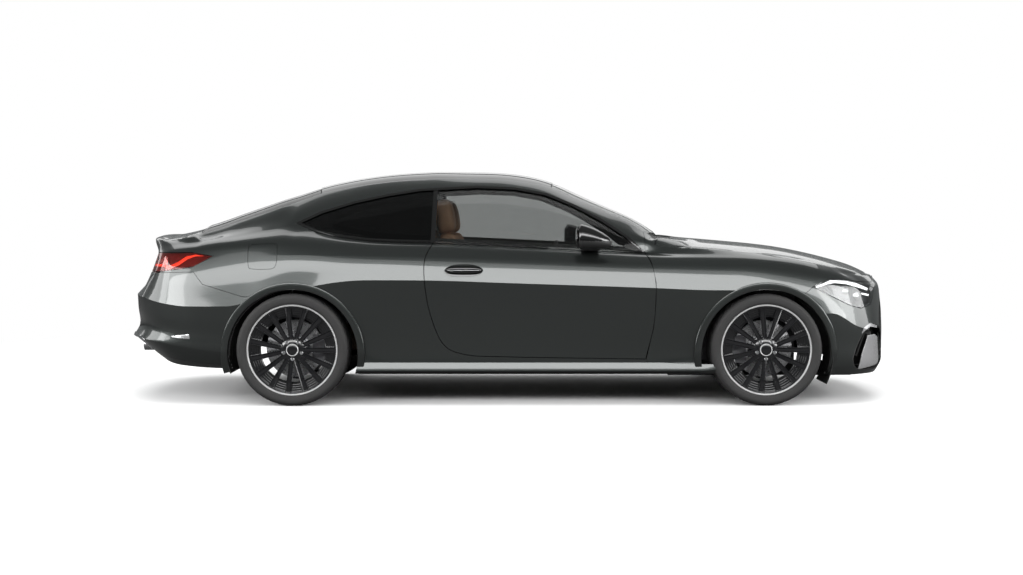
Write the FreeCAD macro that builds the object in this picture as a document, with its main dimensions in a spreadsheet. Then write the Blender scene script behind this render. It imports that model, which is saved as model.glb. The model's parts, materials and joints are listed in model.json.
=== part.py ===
import FreeCAD, Part
import math
import os
import re
from FreeCAD import Placement, Rotation, Vector

# Two-door coupe car as an assembly of separate pieces.
# Frame: +X towards the nose, +Y to the car's left, +Z up, origin on the ground
# under the middle of the overall length. Millimetres and degrees.

os.makedirs("parts", exist_ok=True)
doc = FreeCAD.newDocument("coupe_car")
sheet = doc.addObject("Spreadsheet::Sheet", "sizes")

# ---------------------------------------------------------------- driving dimensions
# alias, value
SIZES = [
    ("wheelbase", 2865),
    ("front_overhang", 865),
    ("rear_overhang", 1120),
    ("body_half_width", 930),
    ("crease_height", 745),
    ("belt_height", 1000),
    ("belt_half_width", 752),
    ("roof_height", 1430),
    ("roof_fall_at_850", 140),
    ("deck_crown", 110),
    ("body_bottom", 170),
    # gaps
    ("door_gap", 5),
    ("sill_gap", 8),
    ("lid_gap", 6),
    ("bonnet_nose_gap", 12),
    ("seam_gap", 0.8),
    ("glass_gap", 8),
    ("glass_seat", 2),
    ("seat_fit", 0.3),
    # shells
    ("glass_depth", 4),
    ("glass_thickness", 6),
    ("pillar_depth", 60),
    ("roof_thickness", 40),
    ("panel_thickness", 25),
    ("ledge_width", 40),
    ("lid_half", 540),
    ("cowl_half", 640),
    ("bumper_wall", 55),
    ("lamp_depth", 75),
    ("buffer_radius", 10),
    ("tow_radius", 10),
    ("tow_offset", 300),
    ("tow_height", 320),
    ("pipe_radius", 35),
    ("pipe_half", 520),
    ("pipe_height", 340),
    ("grille_depth", 40),
    ("cabin_half_width", 725),
    ("boot_half_width", 700),
    ("door_slant", 45),
    # wheels and brakes
    ("tyre_radius", 339),
    ("front_tyre_width", 245),
    ("rear_tyre_width", 275),
    ("bead_radius", 255),
    ("flange_radius", 275),
    ("flange_thickness", 12),
    ("barrel_wall", 12),
    ("hub_pad_radius", 80),
    ("spoke_count", 15),
    ("spoke_width", 26),
    ("spoke_depth", 16),
    ("wheel_plane", 800),
    ("disc_radius", 175),
    ("disc_thickness", 28),
    ("stub_radius", 30),
    ("stub_length", 105),
    # suspension
    ("kingpin_half", 740),
    ("upright_length", 80),
    ("upright_width", 50),
    ("upright_low", 185),
    ("upright_high", 500),
    ("ball_radius", 10),
    ("arm_width", 50),
    ("arm_thickness", 30),
    ("arm_gap", 5),
    ("strut_radius", 45),
    ("strut_half", 560),
    ("subframe_half", 350),
    ("subframe_length", 160),
    ("subframe_low", 160),
    ("subframe_height", 60),
    # wheel houses
    ("arch_radius", 395),
    ("front_house_radius", 425),
    ("arch_lip", 62),
    ("arch_drop", 29),
    ("liner_thickness", 6),
    ("front_house_inner", 440),
    ("rear_house_inner", 520),
    # cabin and boot
    ("floor_low", 235),
    ("floor_thickness", 35),
    ("bulkhead_thickness", 30),
    ("boot_floor_low", 400),
    ("boot_floor_half", 490),
    ("rear_floor_length", 385),
    ("seat_pan_high", 590),
    ("seat_pan_length", 245),
    ("seat_wall_height", 375),
    ("heel_offset", 85),
    ("step_offset", 130),
    ("firewall_offset", 560),
    ("firewall_high", 900),
    ("shelf_low", 965),
    ("shelf_length", 590),
    ("shelf_half", 540),
    ("shelf_thickness", 15),
    ("silencer_length", 320),
    ("silencer_height", 150),
    ("tailpipe_length", 220),
    ("tray_thickness", 15),
    ("engine_length", 620),
    ("engine_half_width", 290),
    ("engine_height", 580),
    ("dash_length", 440),
    ("dash_height", 300),
    ("dash_low", 620),
    ("console_half", 110),
    ("console_height", 280),
    ("seat_width", 500),
    ("seat_half", 380),
    ("cushion_height", 480),
    ("seat_lean_angle", 16),
    ("steering_half", 370),
    ("steering_radius", 180),
    ("steering_grip", 14),
    ("column_angle", 22),
    ("column_radius", 25),
]
ALIASES = [name for name, value in SIZES]
for row, (name, value) in enumerate(SIZES, start=1):
    sheet.set("A%d" % row, name)
    sheet.set("B%d" % row, str(value))
    sheet.setAlias("B%d" % row, name)
doc.recompute()
S = {name: float(sheet.get(name)) for name in ALIASES}

NOSE = (S["front_overhang"] + S["wheelbase"] + S["rear_overhang"]) / 2
TAIL = -NOSE
FRONT = NOSE - S["front_overhang"]
REAR = TAIL + S["rear_overhang"]
SIDES = (("left", 1), ("right", -1))
FAR = 4000
nodes = []


# ---------------------------------------------------------------- helpers
def bound_text(text):
    """Turns a plain expression on the aliases into one that reads the sheet."""
    text = text.replace("FRONT", "((wheelbase + rear_overhang - front_overhang) / 2)")
    text = text.replace("REAR", "((rear_overhang - front_overhang - wheelbase) / 2)")
    text = text.replace("NOSE", "((front_overhang + wheelbase + rear_overhang) / 2)")
    return re.sub(r"[a-z_]{4,}", lambda m: "sizes." + m.group(0) if m.group(0) in ALIASES else m.group(0), text)


def bind(thing, sizes, place):
    """Binds an object's sizes and its position to the sheet."""
    for prop, text in sizes.items():
        thing.setExpression(prop, bound_text(text))
    for axis, text in zip("xyz", place):
        thing.setExpression(".Placement.Base." + axis, bound_text(text))
    return thing


def box(label, x, length, y, width, z, height):
    thing = doc.addObject("Part::Box", label)
    return bind(thing, {"Length": length, "Width": width, "Height": height}, (x, y, z))


def node(name, *things):
    """One named sub-part: a single object, or several pieces that share a node."""
    if len(things) == 1:
        target = things[0]
    else:
        target = doc.addObject("Part::Compound", name + "_set")
        target.Links = list(things)
    target.Label = name
    nodes.append(target)
    return target


def feature(name, shape):
    thing = doc.addObject("Part::Feature", name)
    thing.Shape = shape
    return thing


def largest(shape, count=1):
    """The wanted solids of a cut panel; anything else may only be a crumb."""
    solids = sorted(shape.Solids, key=lambda s: s.Volume, reverse=True)
    rest = sum(s.Volume for s in solids[count:])
    if len(solids) < count or rest > 0.03 * solids[0].Volume:
        raise ValueError("cut left %d solids, crumbs %.0f" % (len(solids), rest))
    return Part.makeCompound(solids[:count]) if count > 1 else solids[0]


def arc(start, middle, end):
    return Part.Arc(Vector(*start), Vector(*middle), Vector(*end)).toShape()


def polygon(points):
    points = [Vector(*p) for p in points]
    return Part.makePolygon(points + points[:1])


def grow(points, distance):
    """Moves each side of a closed 2-D outline outwards (inwards if negative)."""
    area = sum(a[0] * b[1] - b[0] * a[1] for a, b in zip(points, points[1:] + points[:1]))
    turn = 1 if area > 0 else -1
    grown = []
    for before, here, after in zip(points[-1:] + points[:-1], points, points[1:] + points[:1]):
        d1 = Vector(here[0] - before[0], here[1] - before[1], 0).normalize()
        d2 = Vector(after[0] - here[0], after[1] - here[1], 0).normalize()
        n1 = Vector(d1.y, -d1.x, 0) * turn
        n2 = Vector(d2.y, -d2.x, 0) * turn
        shift = (n1 + n2) * (distance / (1 + n1.dot(n2)))
        grown.append((here[0] + shift.x, here[1] + shift.y))
    return grown


def side_prism(points, low, high, slide=0):
    """Outline in side view (x, z), drawn across from |y| low to high on both sides."""
    solids = []
    for name, sign in SIDES:
        outer = polygon([(x, sign * high, z) for x, z in points])
        inner = polygon([(x + (slide if x < 0 else 0), sign * low, z) for x, z in points])
        solids.append(Part.makeLoft([inner, outer], True, True))
    return Part.makeCompound(solids)


def plan_prism(points, low, high):
    """Half outline in plan (x, y >= 0), mirrored and drawn up from z low to high."""
    outline = points + [(x, -y) for x, y in reversed(points) if y > 0]
    return Part.Face(polygon([(x, y, low) for x, y in outline])).extrude(Vector(0, 0, high - low))


def front_prism(points, back, front):
    """Half outline in front view (y >= 0, z), mirrored and drawn from x back to front."""
    outline = points + [(-y, z) for y, z in reversed(points) if y > 0]
    return Part.Face(polygon([(back, y, z) for y, z in outline])).extrude(Vector(front - back, 0, 0))


# ---------------------------------------------------------------- outer skin
# Plan outlines of the lower body.
# height, nose setback, tail setback, inset of the side
LOWER_RINGS = [
    (S["body_bottom"], 60, 150, 50),
    (300, 6, 90, 12),
    (450, 0, 4, 20),
    (600, 4, 6, 14),
    (S["crease_height"], 25, 66, 0),
]
UPPER_RINGS = [
    (S["crease_height"], 25, 66, 0),
    (850, 60, 115, 32),
    (930, 120, 135, 90),
    (985, 170, 148, 162),
    (1040, 250, 160, 275),
    (1110, 300, 190, 400),
]
# Plan outlines of the glasshouse.
# share of the way from belt to roof, windscreen behind the front axle,
# rear window behind the rear axle, inset of the side
GLASS_RINGS = [
    (-0.23, 332, 850, -38),
    (-0.05, 497, 850, 2),
    (0.16, 683, 656, 42),
    (0.37, 868, 400, 90),
    (0.56, 1036, 168, 134),
    (0.74, 1198, -63, 182),
    (1.05, 1466, -440, 280),
]
# Height of the lower body's top along the middle.
# place along the car, height
DECK_LINE = [
    (TAIL - 60, 1000),
    (TAIL + 160, 1026),
    (REAR - 615, 1082),
    (0, 1045),
    (FRONT - 900, 1016),
    (FRONT - 600, 1030),
    (FRONT - 160, 990),
    (FRONT + 240, 946),
    (NOSE - 345, 882),
    (NOSE - 185, 832),
    (NOSE - 30, 759),
    (NOSE + 40, 700),
]
# Roof along the middle: place, depth below the roof's highest point.
ROOF_LINE = [
    (REAR - 795, 330),
    (REAR - 195, 168),
    (REAR + 55, 112),
    (REAR + 405, 38),
    (REAR + 905, 0),
    (FRONT - 1560, 10),
    (FRONT - 1270, 74),
    (FRONT - 860, 205),
    (FRONT - 460, 340),
]


def body_ring(z, nose, tail, half):
    right = [(nose - 65, 0.54 * half), (nose - 200, 0.85 * half), (nose - 470, 0.973 * half),
             ((nose + tail) / 2, half),
             (tail + 480, 0.973 * half), (tail + 210, 0.85 * half), (tail + 75, 0.6 * half)]
    return closed_ring(right, nose, tail, z)


def glass_ring(z, front, back, half):
    right = [(front - 85, 0.86 * half), (front - 150, 0.95 * half), (front - 300, 0.99 * half),
             ((front + back) / 2, half),
             (back + 500, 0.965 * half), (back + 180, 0.86 * half), (back + 70, 0.66 * half)]
    return closed_ring(right, front, back, z)


def closed_ring(right, front, back, z):
    """Eight arcs: nose, corner, side and corner on each side, and the tail."""
    p = [(x, y, z) for x, y in right]
    q = [(x, -y, z) for x, y in right]
    return Part.Wire([
        arc(q[0], (front, 0, z), p[0]), arc(p[0], p[1], p[2]), arc(p[2], p[3], p[4]), arc(p[4], p[5], p[6]),
        arc(p[6], (back, 0, z), q[6]), arc(q[6], q[5], q[4]), arc(q[4], q[3], q[2]), arc(q[2], q[1], q[0])])


def crowned_block(line, floor, half, drop):
    """Everything below a top line that falls away to both sides by the crown's drop."""
    sections = []
    for x, z in line:
        edge = z - drop
        sections.append(Part.Wire([
            arc((x, -half, edge), (x, 0, z), (x, half, edge)),
            Part.makeLine(Vector(x, half, edge), Vector(x, half, floor)),
            Part.makeLine(Vector(x, half, floor), Vector(x, -half, floor)),
            Part.makeLine(Vector(x, -half, floor), Vector(x, -half, edge))]))
    return Part.makeLoft(sections, True, False)


def lower_body(inset=0.0):
    """The body below the glass, or the same shape moved in by an inset."""
    halves = []
    for rows in (LOWER_RINGS, UPPER_RINGS):
        rings = [body_ring(z, NOSE - nose - inset, TAIL + tail + inset, S["body_half_width"] - side - inset)
                 for z, nose, tail, side in rows]
        halves.append(Part.makeLoft(rings, True, False))
    line = [(x, z - inset) for x, z in DECK_LINE]
    return halves[0].fuse(halves[1]).common(crowned_block(line, 100, 1000, S["deck_crown"]))


def roof_block(inset=0.0):
    """Everything below the roof's crowned surface, or below that surface lowered by an inset."""
    line = [(x, S["roof_height"] - depth - inset) for x, depth in ROOF_LINE]
    return crowned_block(line, 800, 850, S["roof_fall_at_850"])


def glasshouse(inset=0.0):
    """The glasshouse, or the same shape moved in by an inset."""
    rings = []
    for share, front, back, side in GLASS_RINGS:
        z = S["belt_height"] + share * (S["roof_height"] - S["belt_height"])
        rings.append(glass_ring(z, FRONT - front - 2.1 * inset, REAR - back + 2.9 * inset,
                                S["belt_half_width"] - side - inset))
    return Part.makeLoft(rings, True, True).common(roof_block(inset))


# ---------------------------------------------------------------- outlines of the panels
DOOR_REAR = [(REAR + 854, 989), (REAR + 803, 890), (REAR + 801, 765), (REAR + 825, 598),
             (REAR + 883, 425), (REAR + 940, 350), (REAR + 1032, 316), (REAR + 1136, 303)]
DOOR_FRONT = [(FRONT - 731, 286), (FRONT - 684, 482), (FRONT - 673, 632), (FRONT - 673, 748),
              (FRONT - 696, 861), (FRONT - 733, 930)]
GLASS_LOW = [(FRONT - 1168, 952), (FRONT - 1521, 970), (REAR + 850, 992)]
DOOR_GLASS_TOP = [(REAR + 867, 1317), (FRONT - 1759, 1328), (FRONT - 1520, 1318), (FRONT - 1329, 1284),
                  (FRONT - 1162, 1216), (FRONT - 986, 1122), (FRONT - 836, 1023)]
QUARTER = [(REAR + 850, 992), (REAR + 630, 998), (REAR + 460, 1005), (REAR + 293, 1025),
           (REAR + 125, 1058), (REAR + 10, 1106), (REAR + 150, 1172), (REAR + 350, 1234),
           (REAR + 551, 1278), (REAR + 754, 1311), (REAR + 867, 1317)]
DOOR_OUTLINE = DOOR_REAR + DOOR_FRONT + GLASS_LOW[:2]
DOOR_GLASS = DOOR_GLASS_TOP + DOOR_FRONT[-1:] + GLASS_LOW
SIDE_GLASS = DOOR_GLASS_TOP + DOOR_FRONT[-1:] + GLASS_LOW[:2] + QUARTER[:-1]
BONNET = [(FRONT - 490, 0), (FRONT - 540, 400), (FRONT - 656, 735), (FRONT - 360, 740), (FRONT + 110, 715),
          (FRONT + 460, 645), (NOSE - 205, 520), (NOSE - 105, 340), (NOSE - 82, 0)]
BOOT_LID = [(REAR - 625, 0), (REAR - 625, S["lid_half"]), (TAIL - 50, S["lid_half"]), (TAIL - 50, 0)]
LID_LOW = S["crease_height"]
LAMP_LINE = [(FRONT + 130, 600), (FRONT + 220, 668), (FRONT + 285, 719), (FRONT + 398, 762),
             (NOSE - 262, 745), (NOSE - 158, 712)]
HEADLAMP = [(FRONT + 285, 721), (FRONT + 398, 764), (NOSE - 262, 747), (NOSE - 158, 700), (NOSE - 187, 603),
            (NOSE - 267, 586), (FRONT + 433, 647)]
TAIL_LAMP = [(TAIL + 625, 905), (TAIL + 495, 925), (TAIL + 25, 905), (TAIL + 25, 790), (TAIL + 269, 806),
             (TAIL + 505, 835)]
REAR_LINE = [(REAR - 200, 655), (REAR - 305, 661), (REAR - 548, 734), (REAR - 607, 808), (TAIL + 269, 800),
             (TAIL + 140, 738), (TAIL - 60, 738)]
GRILLE = [(0, 690), (395, 690), (420, 610), (330, 430), (0, 430)]
WINDSCREEN = [(0, 1010), (640, 985), (600, 1090), (492, 1336), (0, 1370)]
REAR_WINDOW = [(0, 1075), (585, 1050), (560, 1110), (470, 1305), (0, 1330)]
ROOF = [(FRONT - 1272, 0), (FRONT - 1290, 462), (REAR + 120, 452), (REAR + 82, 0)]
RAIL_INNER = 470


def door_prism(gap, sill_gap):
    points = grow(DOOR_OUTLINE, gap)
    points = [(x, z - (sill_gap - gap if z < 330 else 0)) for x, z in points]
    return side_prism(points, 560, S["body_half_width"] + 60, S["door_slant"])


# Inside of each wheel house: place along the car, inner end, radius behind the arch's lip.
HOUSES = [(FRONT, S["front_house_inner"], S["front_house_radius"]),
          (REAR, S["rear_house_inner"], S["arch_radius"])]
ARCH_HEIGHT = S["tyre_radius"] - S["arch_drop"]
HOUSE_END = S["body_half_width"] - S["arch_lip"]


def wheel_house():
    """The four round spaces that hold the wheels; the front ones widen inside for the steered wheels."""
    spaces = []
    for x, inner, radius in HOUSES:
        for name, sign in SIDES:
            start = Vector(x, sign * inner, ARCH_HEIGHT)
            deep = Part.makeCylinder(radius, HOUSE_END - inner, start, Vector(0, sign, 0))
            spaces.append(deep.fuse(Part.makeCylinder(S["arch_radius"], 700, start, Vector(0, sign, 0))))
    return Part.makeCompound(spaces)


def half_space(sign, start=0.0):
    y = start if sign > 0 else -start - FAR
    return Part.makeBox(3 * FAR, FAR, FAR, Vector(-1.5 * FAR, y, -100))


# ---------------------------------------------------------------- body panels
lower = lower_body()
lower_in = lower_body(S["bumper_wall"])
upper = glasshouse()
outer = lower.fuse(upper)
houses = wheel_house()

cabin = Part.Face(polygon([
    (REAR + 25, -S["cabin_half_width"], 0), (REAR + 25, S["cabin_half_width"], 0),
    (REAR + 25, S["cabin_half_width"], 870), (REAR + 25, S["belt_half_width"] - 72, 1000),
    (REAR + 25, S["belt_half_width"] - 72, 1020), (REAR + 25, 72 - S["belt_half_width"], 1020),
    (REAR + 25, 72 - S["belt_half_width"], 1000), (REAR + 25, -S["cabin_half_width"], 870)]))
cabin = cabin.extrude(Vector(FRONT - S["firewall_offset"] - REAR - 25, 0, 0))
boot = Part.makeBox(REAR + 30 - TAIL - 70, 2 * S["boot_half_width"], 930,
                    Vector(TAIL + 70, -S["boot_half_width"], 0))
boot_top = Part.makeBox(REAR + 30 - TAIL - 70, 1120, 300, Vector(TAIL + 70, -560, 920))
bay = Part.makeBox(NOSE - FRONT + 490, 1450, 1000, Vector(FRONT - 590, -725, 0))
hollow = cabin.fuse([boot, boot_top, glasshouse(S["pillar_depth"])])

door_opening = door_prism(S["door_gap"], S["sill_gap"])
window_opening = side_prism(grow(SIDE_GLASS, 2), 380, 1100)


def mirrored(half):
    """A half outline from the middle line outwards, closed on the other side."""
    return half + [(x, -y) for x, y in reversed(half) if y > 0]


bonnet_outline = mirrored(BONNET)
lid_outline = mirrored(BOOT_LID)
FULL = (450, S["body_half_width"] + 170)
door_rear_edge = grow(DOOR_OUTLINE, S["door_gap"])
bonnet_hole = grow(bonnet_outline, S["lid_gap"])[:len(BONNET)]
bonnet_hole = [(x + (S["bonnet_nose_gap"] - S["lid_gap"] if x > NOSE - 110 else 0), y) for x, y in bonnet_hole]
bonnet_opening = plan_prism(bonnet_hole, 640, 1300).cut(lower_body(S["panel_thickness"] + S["lid_gap"]))
lid_opening = plan_prism(grow(lid_outline, S["lid_gap"])[:len(BOOT_LID)], LID_LOW - S["lid_gap"], 1300)
window_opening = side_prism(grow(SIDE_GLASS, S["glass_seat"]), 380, FULL[1])
lamp_opening = side_prism(grow(HEADLAMP, S["seam_gap"]), *FULL)
tail_opening = side_prism(grow(TAIL_LAMP, S["seam_gap"]), S["lid_half"] + S["lid_gap"], FULL[1])
half_seam = S["seam_gap"] / 2

wing_edge = list(reversed(door_rear_edge[9:14]))
wing_outline = ([(FRONT + 640, 1300), (FRONT - 640, 1300), (FRONT - 690, 960)] + wing_edge
                + [(FRONT - 726, 262), (FRONT - 300, 262), (FRONT, 300)]
                + [(x, z + half_seam) for x, z in LAMP_LINE] + [(NOSE - 150, 790)])
nose_outline = ([(x, z - half_seam) for x, z in LAMP_LINE]
                + [(NOSE - 150 + S["seam_gap"], 790), (NOSE + 60, 790), (NOSE + 60, 100), (FRONT + 130, 100)])
tail_outline = [(x, z - half_seam) for x, z in REAR_LINE] + [(TAIL - 60, 100), (REAR - 200, 100)]
wing_zone = side_prism(wing_outline, 0.5, FULL[1])
nose_zone = Part.Face(polygon([(x, -FULL[1], z) for x, z in nose_outline])).extrude(Vector(0, 2 * FULL[1], 0))
tail_zone = Part.Face(polygon([(x, -FULL[1], z) for x, z in tail_outline])).extrude(Vector(0, 2 * FULL[1], 0))

grille_hole = [(y + (S["seam_gap"] if y else 0), z + (S["seam_gap"] if z > 600 else -S["seam_gap"]))
               for y, z in GRILLE]
grille_opening = front_prism(grille_hole, NOSE - 300, NOSE + 50)
screen_hole = [(y + (S["seat_fit"] if y else 0), z) for y, z in WINDSCREEN]
rear_screen_hole = [(y + (S["seat_fit"] if y else 0), z) for y, z in REAR_WINDOW]
screen_opening = front_prism(screen_hole, 150, FRONT - 200)
rear_screen_opening = front_prism(rear_screen_hole, TAIL + 200, REAR + 250)

shell = outer.cut([hollow, houses])
middle = Part.makeBox(2 * FAR, 2 * RAIL_INNER, FAR, Vector(-FAR, -RAIL_INNER, 0))

ledge_hole = plan_prism(grow(bonnet_outline, -S["ledge_width"])[:len(BONNET)], 500, 1300)
cowl_zone = Part.makeBox(240, 2 * S["cowl_half"], 400, Vector(FRONT - 720, -S["cowl_half"], 800))
front_wings = lower.common(wing_zone).cut([bonnet_opening, bay.common(lower_in), houses, lamp_opening])
front_wings = front_wings.cut([door_opening, cabin, ledge_hole, cowl_zone])
node("front_wings", feature("wings", largest(front_wings, 2)))

front_bumper = lower.cut([lower_in, houses]).common(nose_zone)
front_bumper = front_bumper.cut([bonnet_opening, lamp_opening, grille_opening])
buffer_space = lower_body(S["panel_thickness"] + S["seat_fit"]).cut(lower_body(S["bumper_wall"] - 5))
buffers = [Part.makeCylinder(S["buffer_radius"], 400, Vector(NOSE - 105, y, 600)).common(buffer_space)
           for y in (-180, 180)]
tow_y = -S["tow_offset"]
tow_front = Part.makeCylinder(S["tow_radius"], 300, Vector(NOSE - 250, tow_y, S["tow_height"]), Vector(1, 0, 0))
front_bumper = front_bumper.fuse(buffers).cut(tow_front)
node("front_bumper", feature("bumper_front", largest(front_bumper)))

rear_bumper = lower.cut([lower_in, houses]).common(tail_zone).cut([lid_opening, tail_opening])
buffers = [Part.makeCylinder(S["buffer_radius"], 60, Vector(TAIL + 122, y, LID_LOW - 60 - S["seat_fit"]))
           for y in (-400, 400)]
tow_rear = Part.makeCylinder(S["tow_radius"], 300, Vector(TAIL - 50, -tow_y, S["tow_height"]), Vector(1, 0, 0))
outlets = [Part.makeCylinder(S["pipe_radius"] + 5, 400, Vector(TAIL - 50, sign * S["pipe_half"], S["pipe_height"]),
                             Vector(1, 0, 0)) for name, sign in SIDES]
rear_bumper = rear_bumper.fuse(buffers).cut([tow_rear] + outlets)
node("rear_bumper", feature("bumper_rear", largest(rear_bumper)))

sides = shell.cut([door_opening, window_opening, wing_zone, middle, bonnet_opening, lid_opening])
sides = sides.cut([tail_opening, lamp_opening, screen_opening, rear_screen_opening, tail_zone])
sides = sides.cut([nose_zone, Part.makeBox(FAR, 2 * FAR, FAR, Vector(FRONT - 300, -FAR, 0))])
door_pad = door_opening.cut(door_prism(S["seat_fit"], S["seat_fit"]))
for name, sign in SIDES:
    half = largest(sides.common(half_space(sign)))
    pad = Part.makeBox(200, 40, 60, Vector(REAR + 700, sign * 785 - 20, 640)).common(door_pad)
    node(name + "_body_side", feature("side_" + name, largest(half.fuse(pad))))

roof = plan_prism(ROOF, 1200, 1500).common(roof_block()).cut(roof_block(S["roof_thickness"]))
node("roof_panel", feature("roof", largest(roof)))

glass = glasshouse(S["glass_depth"]).cut(glasshouse(S["glass_depth"] + S["glass_thickness"]))
windscreen = glass.common(front_prism(WINDSCREEN, 150, FRONT - 200))
windscreen = windscreen.cut(plan_prism(ROOF, 1200, 1500)).cut(lower)
node("windscreen", feature("screen", largest(windscreen)))
rear_window = glass.common(front_prism(REAR_WINDOW, TAIL + 200, REAR + 250)).cut(plan_prism(ROOF, 1200, 1500))
rear_window = rear_window.cut(lid_opening)
node("rear_window", feature("rear_screen", largest(rear_window)))
quarter = glass.common(side_prism(grow(QUARTER, S["glass_seat"] - S["seat_fit"]), 380, FULL[1]))
node("quarter_windows", feature("quarter", largest(quarter, 2)))

door_cut = door_prism(0, 0)
pane = grow(DOOR_GLASS, -S["glass_gap"])
drop = S["glass_gap"] + S["glass_seat"] - S["seat_fit"]
pane = [(x, z - (drop if z < S["belt_height"] + 10 else 0)) for x, z in pane]
door_window = glass.common(side_prism(pane, 380, FULL[1]))
doors = shell.common(door_cut).cut(window_opening)
for name, sign in SIDES:
    node(name + "_door", feature("door_" + name, largest(doors.common(half_space(sign)))))
    node(name + "_door_window", feature("pane_" + name, largest(door_window.common(half_space(sign)))))

bonnet_zone = plan_prism(BONNET, 700, 1300)
bonnet = lower.cut(lower_body(S["panel_thickness"])).common(bonnet_zone)
bonnet = bonnet.cut(upper)
node("bonnet", feature("bonnet_skin", largest(bonnet)))

lid = lower.cut(lower_body(S["panel_thickness"] + 10)).common(plan_prism(BOOT_LID, LID_LOW, 1300))
lid = lid.cut(upper)
node("boot_lid", feature("lid_skin", largest(lid)))

headlamps = lower.cut(lower_body(S["lamp_depth"])).common(side_prism(HEADLAMP, *FULL))
node("headlamps", feature("lamps_front", largest(headlamps, 2)))
tail_lamps = lower.cut(lower_body(S["bumper_wall"])).common(side_prism(TAIL_LAMP, S["lid_half"], FULL[1]))
tail_lamps = tail_lamps.cut(lid_opening)
node("tail_lamps", feature("lamps_rear", largest(tail_lamps, 2)))
grille = lower_body(10).cut(lower_body(10 + S["grille_depth"])).common(front_prism(GRILLE, NOSE - 300, NOSE + 50))
node("grille", feature("grille_slats", largest(grille)))

cowl = cowl_zone.common(lower.cut(lower_body(S["panel_thickness"])))
cowl = cowl.cut([bonnet_opening, glasshouse(S["glass_depth"] - S["seat_fit"])])
node("cowl_panel", feature("cowl", largest(cowl)))
print("panels", len(nodes))


# ---------------------------------------------------------------- door mirrors
for name, sign in SIDES:
    door = doc.getObject("door_" + name).Shape
    head = Part.makeBox(226, 150, 206, Vector(FRONT - 1160, 870 if sign > 0 else -1020, 899))
    head = head.makeFillet(45, head.Edges)
    foot = Part.makeBox(90, 120, 40, Vector(FRONT - 1050, 810 if sign > 0 else -930, 905))
    mirror = head.fuse(foot).cut([door, doc.getObject("pane_" + name).Shape])
    node(name + "_mirror", feature("mirror_shell_" + name, largest(mirror)))

# ---------------------------------------------------------------- wheels
def wheel_pieces(width):
    """Tyre, rim and brake disc about the Y axis, outer face towards +Y, wheel plane at y = 0."""
    seat = width / 2 - 22
    bead = S["bead_radius"] + S["seat_fit"]
    flange = S["flange_radius"] + S["seat_fit"]
    crown = S["tyre_radius"]
    wall = width / 2
    lip = seat + S["flange_thickness"]

    def at(r, y):
        return Vector(r, y, 0)

    def curve(a, b, c):
        return Part.Arc(at(*a), at(*b), at(*c)).toShape()

    edges = [Part.makeLine(at(bead, -seat), at(bead, seat)),
             Part.makeLine(at(bead, seat), at(flange, seat)),
             Part.makeLine(at(flange, seat), at(flange, lip)),
             curve((flange, lip), (flange + 28, wall), (crown - 14, wall - 6)),
             curve((crown - 14, wall - 6), (crown - 4, wall - 13), (crown, wall - 26)),
             Part.makeLine(at(crown, wall - 26), at(crown, 26 - wall)),
             curve((crown, 26 - wall), (crown - 4, 13 - wall), (crown - 14, 6 - wall)),
             curve((crown - 14, 6 - wall), (flange + 28, -wall), (flange, -lip)),
             Part.makeLine(at(flange, -lip), at(flange, -seat)),
             Part.makeLine(at(flange, -seat), at(bead, -seat))]
    axis = (Vector(0, 0, 0), Vector(0, 1, 0))
    tyre = Part.Face(Part.Wire(edges)).revolve(*axis, 360)
    barrel_out = S["bead_radius"]
    barrel_in = barrel_out - S["barrel_wall"]
    fl = S["flange_radius"]
    ends = seat + 0.3
    profile = [(barrel_in, -lip), (fl, -lip), (fl, -ends), (barrel_out, -ends), (barrel_out, ends), (fl, ends),
               (fl, lip), (barrel_in - 8, lip), (barrel_in - 8, lip - 18), (barrel_in, lip - 18)]
    rim = Part.Face(polygon([(r, y, 0) for r, y in profile])).revolve(*axis, 360)
    pad = Part.makeCylinder(S["hub_pad_radius"], lip - 6, Vector(0, 0, 0), Vector(0, 1, 0))
    spokes = []
    count = int(S["spoke_count"])
    for i in range(count):
        spoke = Part.makeBox(barrel_in - 30, S["spoke_depth"], S["spoke_width"],
                             Vector(30, lip - 6 - S["spoke_depth"], -S["spoke_width"] / 2))
        spoke.rotate(Vector(0, 0, 0), Vector(0, 1, 0), 360.0 * i / count)
        spokes.append(spoke)
    bore = S["stub_radius"] + S["seat_fit"]
    deep = S["stub_length"] - (S["wheel_plane"] - S["kingpin_half"] - S["upright_width"] / 2) + 5
    hole = Part.makeCylinder(bore, deep + 60, Vector(0, -60, 0), Vector(0, 1, 0))
    rim = rim.fuse([pad] + spokes).cut(hole)
    disc = Part.makeCylinder(S["disc_radius"], S["disc_thickness"], Vector(0, -S["disc_thickness"], 0),
                             Vector(0, 1, 0)).cut(hole)
    return tyre, largest(rim), disc


wheel_sets = {"front": (FRONT, wheel_pieces(S["front_tyre_width"])),
              "rear": (REAR, wheel_pieces(S["rear_tyre_width"]))}
for end, (axle_x, (tyre, rim, disc)) in wheel_sets.items():
    for name, sign in SIDES:
        spot = Placement(Vector(axle_x, sign * S["wheel_plane"], S["tyre_radius"]),
                         Rotation(Vector(0, 0, 1), 0 if sign > 0 else 180))
        for piece, shape in (("tyre", tyre), ("rim", Part.makeCompound([rim, disc]))):
            thing = feature("%s_%s_%s_shape" % (end, name, piece), shape)
            thing.Placement = spot
            node("%s_%s_%s" % (end, name, piece), thing)

# ---------------------------------------------------------------- hub carriers, brakes and axles
def rod(x, y, z, radius, length, axis):
    return Part.makeCylinder(radius, length, Vector(x, y, z), Vector(*axis))


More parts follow.
